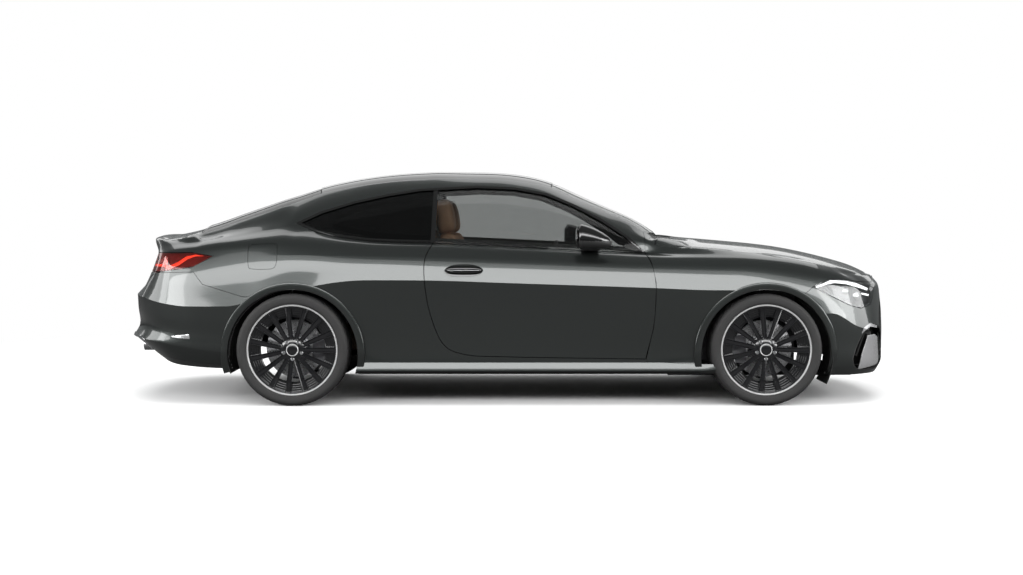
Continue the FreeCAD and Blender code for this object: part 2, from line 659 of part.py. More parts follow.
def carrier_pieces(caliper_side):
    """Upright with stub axle and ball pins, and its caliper; outer side towards +Y, kingpin at y = 0."""
    half_l = S["upright_length"] / 2
    half_w = S["upright_width"] / 2
    hub = S["tyre_radius"]
    tall = S["upright_high"] - S["upright_low"]
    upright = Part.makeBox(S["upright_length"], S["upright_width"], tall,
                           Vector(-half_l, -half_w, S["upright_low"]))
    stub = rod(0, half_w - 1, hub, S["stub_radius"], S["stub_length"], (0, 1, 0))
    pin_length = S["arm_gap"] + S["arm_thickness"]
    low_pin = rod(0, 0, S["upright_low"] - pin_length, S["ball_radius"], pin_length + 1, (0, 0, 1))
    top_pin = rod(0, 0, S["upright_high"] - 1, S["ball_radius"], pin_length + 1, (0, 0, 1))
    bracket = Part.makeBox(90, 20, 110, Vector(caliper_side * 75 - 45, half_w - 20, hub - 55))
    plane = S["wheel_plane"] - S["kingpin_half"]
    caliper = Part.makeBox(85, plane - half_w + 22, 170, Vector(caliper_side * 152.5 - 42.5, half_w, hub - 85))
    room = Part.makeCylinder(S["disc_radius"] + 5, S["disc_thickness"] + 10,
                             Vector(0, plane - S["disc_thickness"] - 5, hub), Vector(0, 1, 0))
    carrier = upright.fuse([stub, low_pin, top_pin, bracket])
    carrier = carrier.cut(room.cut(rod(0, 0, hub, S["stub_radius"], 400, (0, 1, 0))))
    return largest(carrier), largest(caliper.cut(room))


def arm_pieces(inner, house_radius):
    """Lower and upper arm at one wheel, from the subframe out to the kingpin at y = 0."""
    reach = S["kingpin_half"] - inner
    half = S["arm_width"] / 2
    eye = S["ball_radius"] + S["seat_fit"]
    low = S["upright_low"] - S["arm_gap"] - S["arm_thickness"]
    high = S["upright_high"] + S["arm_gap"]
    arms = []
    for z in (low, high):
        bar = Part.makeBox(S["arm_width"], reach, S["arm_thickness"], Vector(-half, -reach, z))
        bar = bar.fuse(rod(0, 0, z, half, S["arm_thickness"], (0, 0, 1)))
        arms.append(bar.cut(rod(0, 0, z - 1, eye, S["arm_thickness"] + 2, (0, 0, 1))))
    strut_y = S["strut_half"] - S["kingpin_half"]
    liner_in = house_radius - 1 - S["liner_thickness"]
    top = ARCH_HEIGHT + math.sqrt(liner_in ** 2 - S["strut_radius"] ** 2) - S["seat_fit"]
    strut = rod(0, strut_y, high + S["arm_thickness"] - 1, S["strut_radius"],
                top - high - S["arm_thickness"] + 1, (0, 0, 1))
    return arms[0], arms[1].fuse(strut)


def placed(shape, x, sign, y=S["kingpin_half"]):
    copy = shape.copy()
    copy.Placement = Placement(Vector(x, sign * y, 0), Rotation(Vector(0, 0, 1), 0 if sign > 0 else 180))
    return copy


for end, x, side, house_radius in (("front", FRONT, -1, S["front_house_radius"]),
                                   ("rear", REAR, 1, S["arch_radius"])):
    beam = Part.makeBox(S["subframe_length"], 2 * S["subframe_half"], S["subframe_height"],
                        Vector(x - S["subframe_length"] / 2, -S["subframe_half"], S["subframe_low"]))
    towers = []
    arms = []
    for name, sign in SIDES:
        low, high = arm_pieces(S["subframe_half"] - 60, house_radius)
        arms += [placed(low, x, sign), placed(high, x, sign)]
        towers.append(Part.makeBox(60, 40, S["upright_high"] + 30 - S["subframe_low"],
                                   Vector(x - 30, sign * 330 - 20, S["subframe_low"])))
    axle = beam.fuse(towers + arms)
    pieces = [largest(axle)]
    for name, sign in SIDES:
        turned = side * (1 if sign > 0 else -1)
        carrier, caliper = carrier_pieces(turned)
        carrier = placed(carrier, x, sign)
        caliper = placed(caliper, x, sign)
        if end == "front":
            node("front_%s_knuckle" % name, feature("knuckle_" + name, Part.makeCompound([carrier, caliper])))
        else:
            pieces += [carrier, caliper]
    node(end + "_axle", feature(end + "_axle_frame", Part.makeCompound(pieces)))

# ---------------------------------------------------------------- wheel arch liners
liners = []
for x, inner, radius in HOUSES:
    for name, sign in SIDES:
        centre = Vector(x, sign * (inner + 1), ARCH_HEIGHT)
        out = radius - 1
        depth = HOUSE_END - inner - 2
        ring = Part.makeCylinder(out, depth, centre, Vector(0, sign, 0))
        ring = ring.cut(Part.makeCylinder(out - S["liner_thickness"], depth, centre, Vector(0, sign, 0)))
        liners.append(ring.common(Part.makeBox(900, 3000, 600, Vector(x - 450, -1500, ARCH_HEIGHT - 10))))
body_inside = lower_body(8)
liner_solids = [s for l in liners for s in l.common(body_inside).Solids]
node("wheel_arch_liners", feature("liners", Part.makeCompound(liner_solids)))

# ---------------------------------------------------------------- floor, bulkheads and power unit
node("floor_pan",
     box("cabin_floor", "REAR + heel_offset + rear_floor_length",
         "FRONT - firewall_offset - REAR - heel_offset - rear_floor_length", "-cabin_half_width + 2",
         "2 * cabin_half_width - 4", "floor_low", "floor_thickness"),
     box("rear_floor", "REAR + heel_offset", "rear_floor_length",
         "-rear_house_inner + 5", "2 * rear_house_inner - 10", "floor_low",
         "floor_thickness"),
     box("boot_floor", "0 - NOSE + 170", "NOSE + REAR - 300", "-boot_floor_half", "2 * boot_floor_half",
         "boot_floor_low", "bulkhead_thickness"))
node("bulkheads",
     box("firewall", "FRONT - firewall_offset", "bulkhead_thickness", "-cabin_half_width + 10",
         "2 * cabin_half_width - 20", "floor_low + floor_thickness", "firewall_high - floor_low - floor_thickness"),
     box("seat_wall", "REAR", "bulkhead_thickness", "-rear_house_inner + 5", "2 * rear_house_inner - 10",
         "seat_pan_high", "seat_wall_height"),
     box("boot_step", "REAR - step_offset", "bulkhead_thickness",
         "-rear_house_inner + 5", "2 * rear_house_inner - 10",
         "boot_floor_low", "seat_pan_high - bulkhead_thickness - boot_floor_low"),
     box("seat_pan", "REAR - step_offset", "seat_pan_length",
         "-rear_house_inner + 5", "2 * rear_house_inner - 10",
         "seat_pan_high - bulkhead_thickness", "bulkhead_thickness"),
     box("heel_board", "REAR + heel_offset", "bulkhead_thickness", "-rear_house_inner + 5",
         "2 * rear_house_inner - 10", "floor_low + floor_thickness",
         "seat_pan_high - bulkhead_thickness - floor_low - floor_thickness"),
     box("parcel_shelf", "REAR + bulkhead_thickness - shelf_length", "shelf_length",
         "-shelf_half", "2 * shelf_half",
         "shelf_low", "shelf_thickness"))
node("undertray",
     box("tray", "FRONT - 540", "540 + front_overhang - 240", "-front_house_inner + 20",
         "2 * front_house_inner - 40", "upright_low - arm_gap - arm_thickness - tray_thickness",
         "tray_thickness"))
node("engine_block",
     box("engine", "FRONT - 330", "engine_length", "-engine_half_width", "2 * engine_half_width",
         "subframe_low + subframe_height", "engine_height"))
silencer = box("silencer", "0 - NOSE + 330", "silencer_length", "-pipe_half - 40", "2 * pipe_half + 80",
               "boot_floor_low - silencer_height", "silencer_height")
pipes = []
for name, sign in SIDES:
    pipe = doc.addObject("Part::Cylinder", "tailpipe_" + name)
    pipe.Placement = Placement(Vector(0, 0, 0), Rotation(Vector(0, 1, 0), 90))
    bind(pipe, {"Radius": "pipe_radius", "Height": "tailpipe_length"},
         ("0 - NOSE + 130", "%d * pipe_half" % sign, "pipe_height"))
    pipes.append(pipe)
exhaust = doc.addObject("Part::MultiFuse", "exhaust_parts")
exhaust.Shapes = [silencer] + pipes
node("exhaust", exhaust)

# ---------------------------------------------------------------- interior
dash = box("dash", "FRONT - firewall_offset - dash_length", "dash_length", "-cabin_half_width + 25",
           "2 * cabin_half_width - 50", "dash_low", "dash_height")
lean = math.radians(S["column_angle"])
wheel_centre = Vector(FRONT - 1300, S["steering_half"], 800)
back = Vector(-math.cos(lean), 0, math.sin(lean))
column = Part.makeCylinder(S["column_radius"], 330 - S["seat_fit"], wheel_centre - back * 365, back)
doc.recompute()
node("dashboard", feature("dash_body", largest(dash.Shape.fuse(column))))
node("centre_console", box("console", "FRONT - 1500 - 350", "350 + 500", "-console_half", "2 * console_half",
                           "floor_low + floor_thickness", "console_height"))

ring = Part.makeTorus(S["steering_radius"], S["steering_grip"])
boss = Part.makeCylinder(50, 60, Vector(0, 0, -35))
for angle in (0, 180, 270):
    arm = Part.makeBox(S["steering_radius"], 36, 14, Vector(0, -18, -7))
    arm.rotate(Vector(0, 0, 0), Vector(0, 0, 1), angle + 90)
    boss = boss.fuse(arm)
wheel = feature("steering", ring.fuse(boss))
wheel.Placement = Placement(wheel_centre, Rotation(Vector(0, 0, 1), back))
node("steering_wheel", wheel)


def soft_box(length, width, height, radius):
    block = Part.makeBox(length, width, height, Vector(-length / 2, -width / 2, 0))
    return block.makeFillet(radius, block.Edges)


def seat_shape(width, tall, cushion_length, floor, with_head):
    """Cushion, leaning back and headrest on a plinth; front towards +X."""
    top = S["cushion_height"]
    plinth = Part.makeBox(cushion_length - 120, width - 120, top - floor - 120,
                          Vector(-cushion_length / 2 + 60, -width / 2 + 60, floor))
    cushion = soft_box(cushion_length, width, 160, 40)
    cushion.translate(Vector(0, 0, top - 160))
    rest = soft_box(130, width, tall, 45)
    rest.rotate(Vector(0, 0, 0), Vector(0, 1, 0), -S["seat_lean_angle"])
    rest.translate(Vector(-cushion_length / 2 + 30, 0, top - 120))
    seat = plinth.fuse([cushion, rest])
    if with_head:
        angle = math.radians(S["seat_lean_angle"])
        head = soft_box(90, width * 0.54, 190, 35)
        head.rotate(Vector(0, 0, 0), Vector(0, 1, 0), -S["seat_lean_angle"])
        head.translate(Vector(-cushion_length / 2 + 30 - (tall - 20) * math.sin(angle), 0,
                              top - 120 + (tall - 20) * math.cos(angle)))
        seat = seat.fuse(head)
    return seat


floor_top = S["floor_low"] + S["floor_thickness"]
front_seat = seat_shape(S["seat_width"], 620, 520, floor_top, True)
seats = []
for name, sign in SIDES:
    copy = front_seat.copy()
    copy.translate(Vector(FRONT - 1590, sign * S["seat_half"], 0))
    seats.append(copy)
node("front_seats", feature("seats", Part.makeCompound(seats)))
bench = seat_shape(1000, 520, 480, floor_top, False)
bench.translate(Vector(REAR + 470, 0, 0))
node("rear_bench", feature("bench", bench))

# Two wiper blades that lie on the foot of the windscreen.
blade_space = glasshouse(-8).cut(glasshouse(S["glass_depth"] - S["seat_fit"]))
blades = [Part.makeBox(400, 500, 16, Vector(FRONT - 800, y, S["belt_height"] + 36)) for y in (-560, 20)]
blades = blade_space.common(Part.makeCompound(blades))
node("wipers", feature("wiper_blades", largest(blades, 2)))

# ---------------------------------------------------------------- checks and files
doc.recompute()
for thing in doc.Objects:
    if "Invalid" in thing.State or "Error" in thing.State:
        raise ValueError("%s failed: %s" % (thing.Name, thing.State))
faults = [thing.Label for thing in nodes if thing.Shape.isNull() or not thing.Shape.isValid()
          or not thing.Shape.Solids]
if faults:
    raise ValueError("no valid solid in " + ", ".join(faults))
for thing in nodes:
    thing.Shape.exportStep("parts/%s.step" % thing.Label)
    print(thing.Label, len(thing.Shape.Solids), round(thing.Shape.Volume / 1e6, 2))
print(len(nodes), "nodes")
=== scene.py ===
# %% [markdown]
# # A two-door coupe
#
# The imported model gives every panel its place. This lesson dresses it: metallic paint,
# glass, alloy wheels, lamps, trim and a leather cabin, each built around the panel that
# it belongs to, in metres, with the nose towards +X and the right-hand side towards -Y.

# %% Start with an empty scene and load the frame
import json
import math

import bmesh
import bpy
import numpy as np
from mathutils import Matrix, Vector
from mathutils.bvhtree import BVHTree

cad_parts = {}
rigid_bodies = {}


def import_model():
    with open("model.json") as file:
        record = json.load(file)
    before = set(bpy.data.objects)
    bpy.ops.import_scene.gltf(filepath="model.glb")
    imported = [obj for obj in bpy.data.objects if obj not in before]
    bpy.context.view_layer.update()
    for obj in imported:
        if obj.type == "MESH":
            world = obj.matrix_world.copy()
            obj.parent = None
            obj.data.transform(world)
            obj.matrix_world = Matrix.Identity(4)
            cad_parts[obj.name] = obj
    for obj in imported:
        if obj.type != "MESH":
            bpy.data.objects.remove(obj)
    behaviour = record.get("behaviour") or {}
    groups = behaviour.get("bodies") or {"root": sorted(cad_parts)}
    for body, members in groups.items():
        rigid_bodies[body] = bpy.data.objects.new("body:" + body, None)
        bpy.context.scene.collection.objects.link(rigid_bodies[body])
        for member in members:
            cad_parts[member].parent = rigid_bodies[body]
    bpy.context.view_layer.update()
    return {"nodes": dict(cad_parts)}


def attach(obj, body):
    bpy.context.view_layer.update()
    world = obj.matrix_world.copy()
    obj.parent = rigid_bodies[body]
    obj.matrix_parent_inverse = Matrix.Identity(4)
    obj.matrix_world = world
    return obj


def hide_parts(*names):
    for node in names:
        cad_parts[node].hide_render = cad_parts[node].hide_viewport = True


for thing in list(bpy.data.objects):
    bpy.data.objects.remove(thing)
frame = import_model()
nodes = frame["nodes"]
SIDES = (("left", 1), ("right", -1))
ENDS = ("front", "rear")

# %% [markdown]
# ## Camera, floor and light
#
# A car is usually pictured from far away with a long lens, so that its length isn't
# stretched. The paint is a dark mirror: what it shows is the room. So the room is dark
# low down, and a long narrow lamp hangs on each side, higher than the roof. It draws the
# bright band along the shoulder and leaves the doors dark. A lamp off each corner on the
# camera's side carries the band round the bumpers. The floor is pale where the camera
# sees it and dark where the paint does.

# %% Camera
scene = bpy.context.scene
camera_data = bpy.data.cameras.new("camera")
camera_data.lens = 50.0
camera_data.sensor_width = 36.0
camera = bpy.data.objects.new("camera", camera_data)
scene.collection.objects.link(camera)
CAMERA_PLACE = (0.019, -9.47, 1.109)
CAMERA_PITCH = 2.62
camera.location = CAMERA_PLACE
camera.rotation_euler = (math.radians(90 - CAMERA_PITCH), 0, 0)
scene.camera = camera
scene.view_settings.view_transform = "Standard"
print("camera at", CAMERA_PLACE)


# %% Helpers for node trees
def tree_of(thing):
    """An empty node tree of a material or a world."""
    thing.use_nodes = True
    thing.node_tree.nodes.clear()
    return thing.node_tree


def add(tree, kind, **inputs):
    """A node of that kind, with values given by input name; a socket value is linked."""
    item = tree.nodes.new(kind)
    for name, value in inputs.items():
        put(tree, item, name.replace("_", " "), value)
    return item


def put(tree, item, name, value):
    """Sets one input of a node, or links it."""
    socket = item.inputs[name]
    if isinstance(value, bpy.types.NodeSocket):
        tree.links.new(value, socket)
    else:
        socket.default_value = value


def mixed(tree, share, one, two):
    """A mix of two shader nodes, and the output that holds it."""
    mix = add(tree, "ShaderNodeMixShader")
    for k, socket in enumerate((share, one.outputs[0], two.outputs[0])):
        tree.links.new(socket, mix.inputs[k])
    return mix


def close(tree, item, kind="ShaderNodeOutputMaterial"):
    """Links the last node of a tree to its output."""
    tree.links.new(item.outputs[0], add(tree, kind).inputs[0])


# %% Floor, background and lamps
world = bpy.data.worlds.new("studio")
scene.world = world
tree = tree_of(world)
path = add(tree, "ShaderNodeLightPath")
shown = add(tree, "ShaderNodeBackground", Color=(1, 1, 1, 1), Strength=1.0)
ambient = add(tree, "ShaderNodeBackground", Color=(0.88, 0.92, 0.92, 1), Strength=0.17)
close(tree, mixed(tree, path.outputs["Is Camera Ray"], ambient, shown), "ShaderNodeOutputWorld")

FLOOR_SIZE = 30.0
# the floor's own shade fades into pure white between these distances from the middle
FADE_START, FADE_END = 2.4, 6.0
mesh = bmesh.new()
bmesh.ops.create_grid(mesh, x_segments=1, y_segments=1, size=FLOOR_SIZE)
floor_mesh = bpy.data.meshes.new("floor")
mesh.to_mesh(floor_mesh)
mesh.free()
floor = bpy.data.objects.new("floor", floor_mesh)
scene.collection.objects.link(floor)
floor_material = bpy.data.materials.new("studio_floor")
tree = tree_of(floor_material)
path = add(tree, "ShaderNodeLightPath")
pale = add(tree, "ShaderNodeBsdfDiffuse", Color=(0.93, 0.93, 0.93, 1))
dark = add(tree, "ShaderNodeBsdfDiffuse", Color=(0.11, 0.11, 0.11, 1))
where = add(tree, "ShaderNodeTexCoord")
spread = add(tree, "ShaderNodeVectorMath", Vector=where.outputs["Object"])
spread.operation = "LENGTH"
far = add(tree, "ShaderNodeMapRange", Value=spread.outputs["Value"], From_Min=FADE_START, From_Max=FADE_END)
glow = add(tree, "ShaderNodeEmission", Color=(1, 1, 1, 1), Strength=1.0)
backdrop = mixed(tree, far.outputs[0], pale, glow)
close(tree, mixed(tree, path.outputs["Is Camera Ray"], dark, backdrop))
floor_mesh.materials.append(floor_material)

# name, place, size along x, size across, watts, aim
LAMPS = [
    ("over", (0.0, 4.2, 5.0), 10.0, 4.4, 170.0, (0.0, 3.4, 0.0)),
    ("soft", (0.0, -0.4, 6.0), 9.0, 7.0, 470.0, (0.0, -0.4, 0.0)),
    ("shoulder_right", (0.2, -6.4, 3.10), 24.0, 1.3, 600.0, (0.0, 0.0, 0.8)),
    ("fade_right", (0.2, -6.8, 3.60), 24.0, 3.2, 300.0, (0.0, 0.0, 0.8)),
    ("shoulder_left", (0.2, 6.4, 3.10), 24.0, 1.3, 110.0, (0.0, 0.0, 0.8)),
    ("corner_front", (8.5, -4.6, 3.1), 5.5, 3.2, 250.0, (2.1, -0.8, 0.6)),
    ("corner_rear", (-8.5, -4.6, 3.1), 5.5, 3.2, 250.0, (-2.1, -0.8, 0.6)),
    ("far_wall", (0.0, 11.0, 2.6), 20.0, 4.0, 190.0, (0.0, 0.0, 1.0)),
    ("nose", (7.5, -1.4, 2.5), 4.6, 2.4, 130.0, (0.0, 0.0, 0.6)),
    ("tail", (-7.5, -1.4, 2.5), 4.6, 2.4, 130.0, (0.0, 0.0, 0.6)),
]
for name, place, along, across, watts, aim in LAMPS:
    data = bpy.data.lights.new(name, "AREA")
    data.shape = "RECTANGLE"
    data.size = along
    data.size_y = across
    data.energy = watts
    lamp = bpy.data.objects.new(name, data)
    lamp.location = place
    lamp.rotation_euler = (Vector(aim) - Vector(place)).to_track_quat("-Z", "Y").to_euler()
    lamp.visible_camera = False
    lamp.visible_glossy = name not in ("soft", "far_wall")
    scene.collection.objects.link(lamp)
print("floor and", len(LAMPS), "lamps")

# %% [markdown]
# ## Finishes
#
# Most finishes here share one thing: a colour, a gloss and a bump that wander a little.
# A node group makes that once, and each material gives it its own colours and scale. The
# shader itself, and every value that is the same all over, stays in the material.

# %% The shared grain group
grain = bpy.data.node_groups.new("grain", "ShaderNodeTree")
for name, kind, start in (("Light", "NodeSocketColor", (0.5, 0.5, 0.5, 1)),
                          ("Dark", "NodeSocketColor", (0.4, 0.4, 0.4, 1)),
                          ("Scale", "NodeSocketFloat", 40.0), ("Smooth", "NodeSocketFloat", 0.3),
                          ("Rough", "NodeSocketFloat", 0.5), ("Bump", "NodeSocketFloat", 0.1)):
    socket = grain.interface.new_socket(name, in_out="INPUT", socket_type=kind)
    socket.default_value = start
for name, kind in (("Colour", "NodeSocketColor"), ("Gloss", "NodeSocketFloat"), ("Normal", "NodeSocketVector")):
    grain.interface.new_socket(name, in_out="OUTPUT", socket_type=kind)
inside = add(grain, "NodeGroupInput")
where = add(grain, "ShaderNodeTexCoord")
noise = add(grain, "ShaderNodeTexNoise", Vector=where.outputs["Object"], Scale=inside.outputs["Scale"],
            Detail=4.0)
colour = add(grain, "ShaderNodeMix")
colour.data_type = "RGBA"
grain.links.new(noise.outputs["Fac"], colour.inputs[0])
grain.links.new(inside.outputs["Light"], colour.inputs[6])
grain.links.new(inside.outputs["Dark"], colour.inputs[7])
gloss = add(grain, "ShaderNodeMapRange", Value=noise.outputs["Fac"])
grain.links.new(inside.outputs["Smooth"], gloss.inputs["To Min"])
grain.links.new(inside.outputs["Rough"], gloss.inputs["To Max"])
bump = add(grain, "ShaderNodeBump", Height=noise.outputs["Fac"], Strength=inside.outputs["Bump"], Distance=0.001)
outside = add(grain, "NodeGroupOutput")
grain.links.new(colour.outputs[2], outside.inputs["Colour"])
grain.links.new(gloss.outputs[0], outside.inputs["Gloss"])
grain.links.new(bump.outputs[0], outside.inputs["Normal"])


def grain_in(tree, light, dark, **values):
    """The grain group as a node of a material's tree, with that material's values."""
    group = tree.nodes.new("ShaderNodeGroup")
    group.node_tree = grain
    for name, value in {"Light": (*light, 1), "Dark": (*dark, 1), **values}.items():
        put(tree, group, name, value)
    return group


def finish(name, light, dark, scale, smooth, rough, bump, **shader):
    """A Principled material whose colour, gloss and bump come from the grain group."""
    made = bpy.data.materials.new(name)
    tree = tree_of(made)
    group = grain_in(tree, light, dark, Scale=scale, Smooth=smooth, Rough=rough, Bump=bump)
    body = add(tree, "ShaderNodeBsdfPrincipled", Base_Color=group.outputs["Colour"],
               Roughness=group.outputs["Gloss"], Normal=group.outputs["Normal"], **shader)
    close(tree, body)
    return made


paint = finish("graphite_paint", (0.047, 0.052, 0.050), (0.032, 0.036, 0.035), 900.0, 0.26, 0.36, 0.02,
               Metallic=0.80, Coat_Weight=1.0, Coat_Roughness=0.05)
gloss_black = finish("gloss_black", (0.008, 0.008, 0.008), (0.004, 0.004, 0.004), 300.0, 0.05, 0.09, 0.0,
                     Coat_Weight=0.5)
moulded_black = finish("moulded_black", (0.018, 0.018, 0.018), (0.011, 0.011, 0.011), 700.0, 0.45, 0.62, 0.15)
rubber = finish("tyre_rubber", (0.028, 0.027, 0.027), (0.018, 0.018, 0.018), 220.0, 0.62, 0.80, 0.2)
cast_metal = finish("cast_metal", (0.22, 0.22, 0.23), (0.13, 0.13, 0.14), 160.0, 0.40, 0.60, 0.3, Metallic=0.9)
steel = finish("bare_steel", (0.55, 0.55, 0.56), (0.42, 0.42, 0.43), 60.0, 0.22, 0.34, 0.05, Metallic=1.0)
chrome = finish("bright_metal", (0.72, 0.72, 0.73), (0.66, 0.66, 0.67), 30.0, 0.08, 0.14, 0.0, Metallic=1.0)
silver = finish("silver_lacquer", (0.62, 0.62, 0.63), (0.52, 0.52, 0.53), 500.0, 0.22, 0.30, 0.02, Metallic=0.7)
# the cabin
leather = finish("tan_leather", (0.60, 0.345, 0.205), (0.50, 0.285, 0.168), 260.0, 0.42, 0.58, 0.5)
cabin_black = finish("cabin_black", (0.030, 0.029, 0.028), (0.020, 0.019, 0.019), 400.0, 0.50, 0.68, 0.3)
carpet = finish("carpet", (0.022, 0.021, 0.020), (0.012, 0.012, 0.012), 900.0, 0.85, 0.95, 0.8)


def glass_finish(name, tint):
    """Tinted glass: it refracts and reflects for the eye, and lets light fall through for shadows."""
    made = bpy.data.materials.new(name)
    tree = tree_of(made)
    shade = tuple(value * 0.97 for value in tint)
    group = grain_in(tree, tint, shade, Scale=60.0, Bump=0.0)
    pane = add(tree, "ShaderNodeBsdfPrincipled", Base_Color=group.outputs["Colour"], Metallic=0.0, Roughness=0.0,
               IOR=1.45, Transmission_Weight=1.0)
    clear = add(tree, "ShaderNodeBsdfTransparent", Color=group.outputs["Colour"])
    path = add(tree, "ShaderNodeLightPath")
    through = add(tree, "ShaderNodeMath")
    through.operation = "MAXIMUM"
    tree.links.new(path.outputs["Is Shadow Ray"], through.inputs[0])
    tree.links.new(path.outputs["Is Diffuse Ray"], through.inputs[1])
    close(tree, mixed(tree, through.outputs[0], pane, clear))
    return made


glass = glass_finish("window_glass", (0.47, 0.48, 0.475))
dark_glass = glass_finish("privacy_glass", (0.035, 0.036, 0.036))
lens = glass_finish("clear_lens", (0.92, 0.93, 0.93))
red_lens = glass_finish("red_lens", (0.80, 0.42, 0.40))
print("finishes:", len(bpy.data.materials))

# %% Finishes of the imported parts
CORNERS = ["%s_%s" % (end, side) for end in ENDS for side, _ in SIDES]
WORN = {
    paint: ("front_wings", "front_bumper", "rear_bumper", "left_body_side", "right_body_side", "left_door",
            "right_door", "bonnet", "boot_lid", "left_mirror", "right_mirror"),
    gloss_black: ("roof_panel", "grille"),
    glass: ("windscreen", "left_door_window", "right_door_window"),
    dark_glass: ("quarter_windows", "rear_window"),
    lens: ("headlamps",),
    red_lens: ("tail_lamps",),
    moulded_black: ("cowl_panel", "wheel_arch_liners", "undertray", "wipers"),
    carpet: ("floor_pan",),
    cast_metal: ("front_axle", "rear_axle", "front_left_knuckle", "front_right_knuckle", "engine_block"),
    steel: ("exhaust",),
    cabin_black: ("dashboard", "centre_console", "steering_wheel", "bulkheads"),
    leather: ("front_seats", "rear_bench"),
    rubber: [corner + "_tyre" for corner in CORNERS],
    silver: [corner + "_rim" for corner in CORNERS],
}
for worn, names in WORN.items():
    for name in names:
        nodes[name].data.materials.clear()
        nodes[name].data.materials.append(worn)
missing = [name for name in nodes if not nodes[name].data.materials]
print("nodes with a finish:", len(nodes) - len(missing), "without:", missing)

# %% [markdown]
# ## The body skin
#
# A car body is one flowing surface that is cut into panels along its shut lines. It could
# be modelled panel by panel, but then no highlight would run on from one to the next. So
# the whole surface is drawn once, as a grid: stations follow the car's outline from the
# middle of the nose to the middle of the tail, and at each station a section climbs from
# the sill over the crease and the belt to the roof. The named lines below are what a body
# maker would tape on a full-size model.


# %% Smooth curves through a table
def blend(t, start, start_pull, end, end_pull):
    """A cubic from start to end, with its direction at both ends; t runs from 0 to 1."""
    return ((2 * t**3 - 3 * t**2 + 1) * start + (t**3 - 2 * t**2 + t) * start_pull
            + (3 * t**2 - 2 * t**3) * end + (t**3 - t**2) * end_pull)


def slopes(keys, values, limited):
    """Slopes of a curve through the rows; limited ones never swing past a row."""
    step = np.diff(keys)[:, None]
    run = np.diff(values, axis=0) / step
    slope = np.zeros_like(values)
    slope[0], slope[-1] = run[0], run[-1]
    middle = (run[:-1] * step[1:] + run[1:] * step[:-1]) / (step[1:] + step[:-1])
    if limited:
        same = (run[:-1] * run[1:]) > 0
        least = 3 * np.minimum(np.abs(run[:-1]), np.abs(run[1:]))
        middle = np.where(same, np.sign(middle) * np.minimum(np.abs(middle), least), 0)
    slope[1:-1] = middle
    return slope


def curve(rows, at, limited=True):
    """Reads a table of (key, value, ...) rows at the wanted keys."""
    rows = np.array(sorted(rows), dtype=float)
    keys, values = rows[:, 0], rows[:, 1:]
    slope = slopes(keys, values, limited)
    at = np.clip(np.asarray(at, dtype=float), keys[0], keys[-1])
    i = np.clip(np.searchsorted(keys, at) - 1, 0, len(keys) - 2)
    span = (keys[i + 1] - keys[i])[:, None]
    t = ((at - keys[i])[:, None]) / span
    return blend(t, values[i], span * slope[i], values[i + 1], span * slope[i + 1])


# %% The outline in plan, and the stations along it
OUTLINE = [(2.420, 0.0), (2.406, 0.26), (2.361, 0.50), (2.262, 0.72), (2.13, 0.835), (1.955, 0.897), (1.56, 0.920),
           (0.80, 0.928), (0.0, 0.930), (-0.80, 0.929), (-1.305, 0.924), (-1.70, 0.910), (-1.945, 0.890),
           (-2.13, 0.828), (-2.262, 0.71), (-2.362, 0.50), (-2.412, 0.26), (-2.427, 0.0)]
STATION_PITCH = 0.018
plan = np.array(OUTLINE)
reach = np.concatenate([[0], np.cumsum(np.linalg.norm(np.diff(plan, axis=0), axis=1))])
fine = np.linspace(0, reach[-1], 4000)
dense = curve([(r, *p) for r, p in zip(reach, plan)], fine, limited=False)
dense[0, 1] = dense[-1, 1] = 0.0
count = int(reach[-1] / STATION_PITCH)
along = np.linspace(0, reach[-1], count + 1)
pick = np.searchsorted(fine, along).clip(0, len(fine) - 1)
ring = dense[pick]
heading = np.gradient(dense, axis=0)[pick]
heading /= np.linalg.norm(heading, axis=1)[:, None]
heading[0] = (0, 1)
heading[-1] = (0, -1)
inward = np.stack([heading[:, 1], -heading[:, 0]], axis=1) * -1


def station_of(x, y):
    """How far along the outline the nearest point to (x, y) is."""
    return fine[np.argmin(np.hypot(dense[:, 0] - x, dense[:, 1] - y))]


print("stations:", len(ring), "outline length", round(float(reach[-1]), 3))

# %% [markdown]
# The lower lines are held by how far they stand in from the outline and how high they
# are. The foot is the edge under the sill, the heel its corner, then come the sill's
# ledge, the low crease of the door, the waist, the main crease, the shoulder, the upper
# shoulder and the belt.

# %% The lower lines: inset and height at each key place
LOW_LINES = ("foot", "heel", "ledge", "low", "waist", "crease", "shoulder", "upper", "belt")
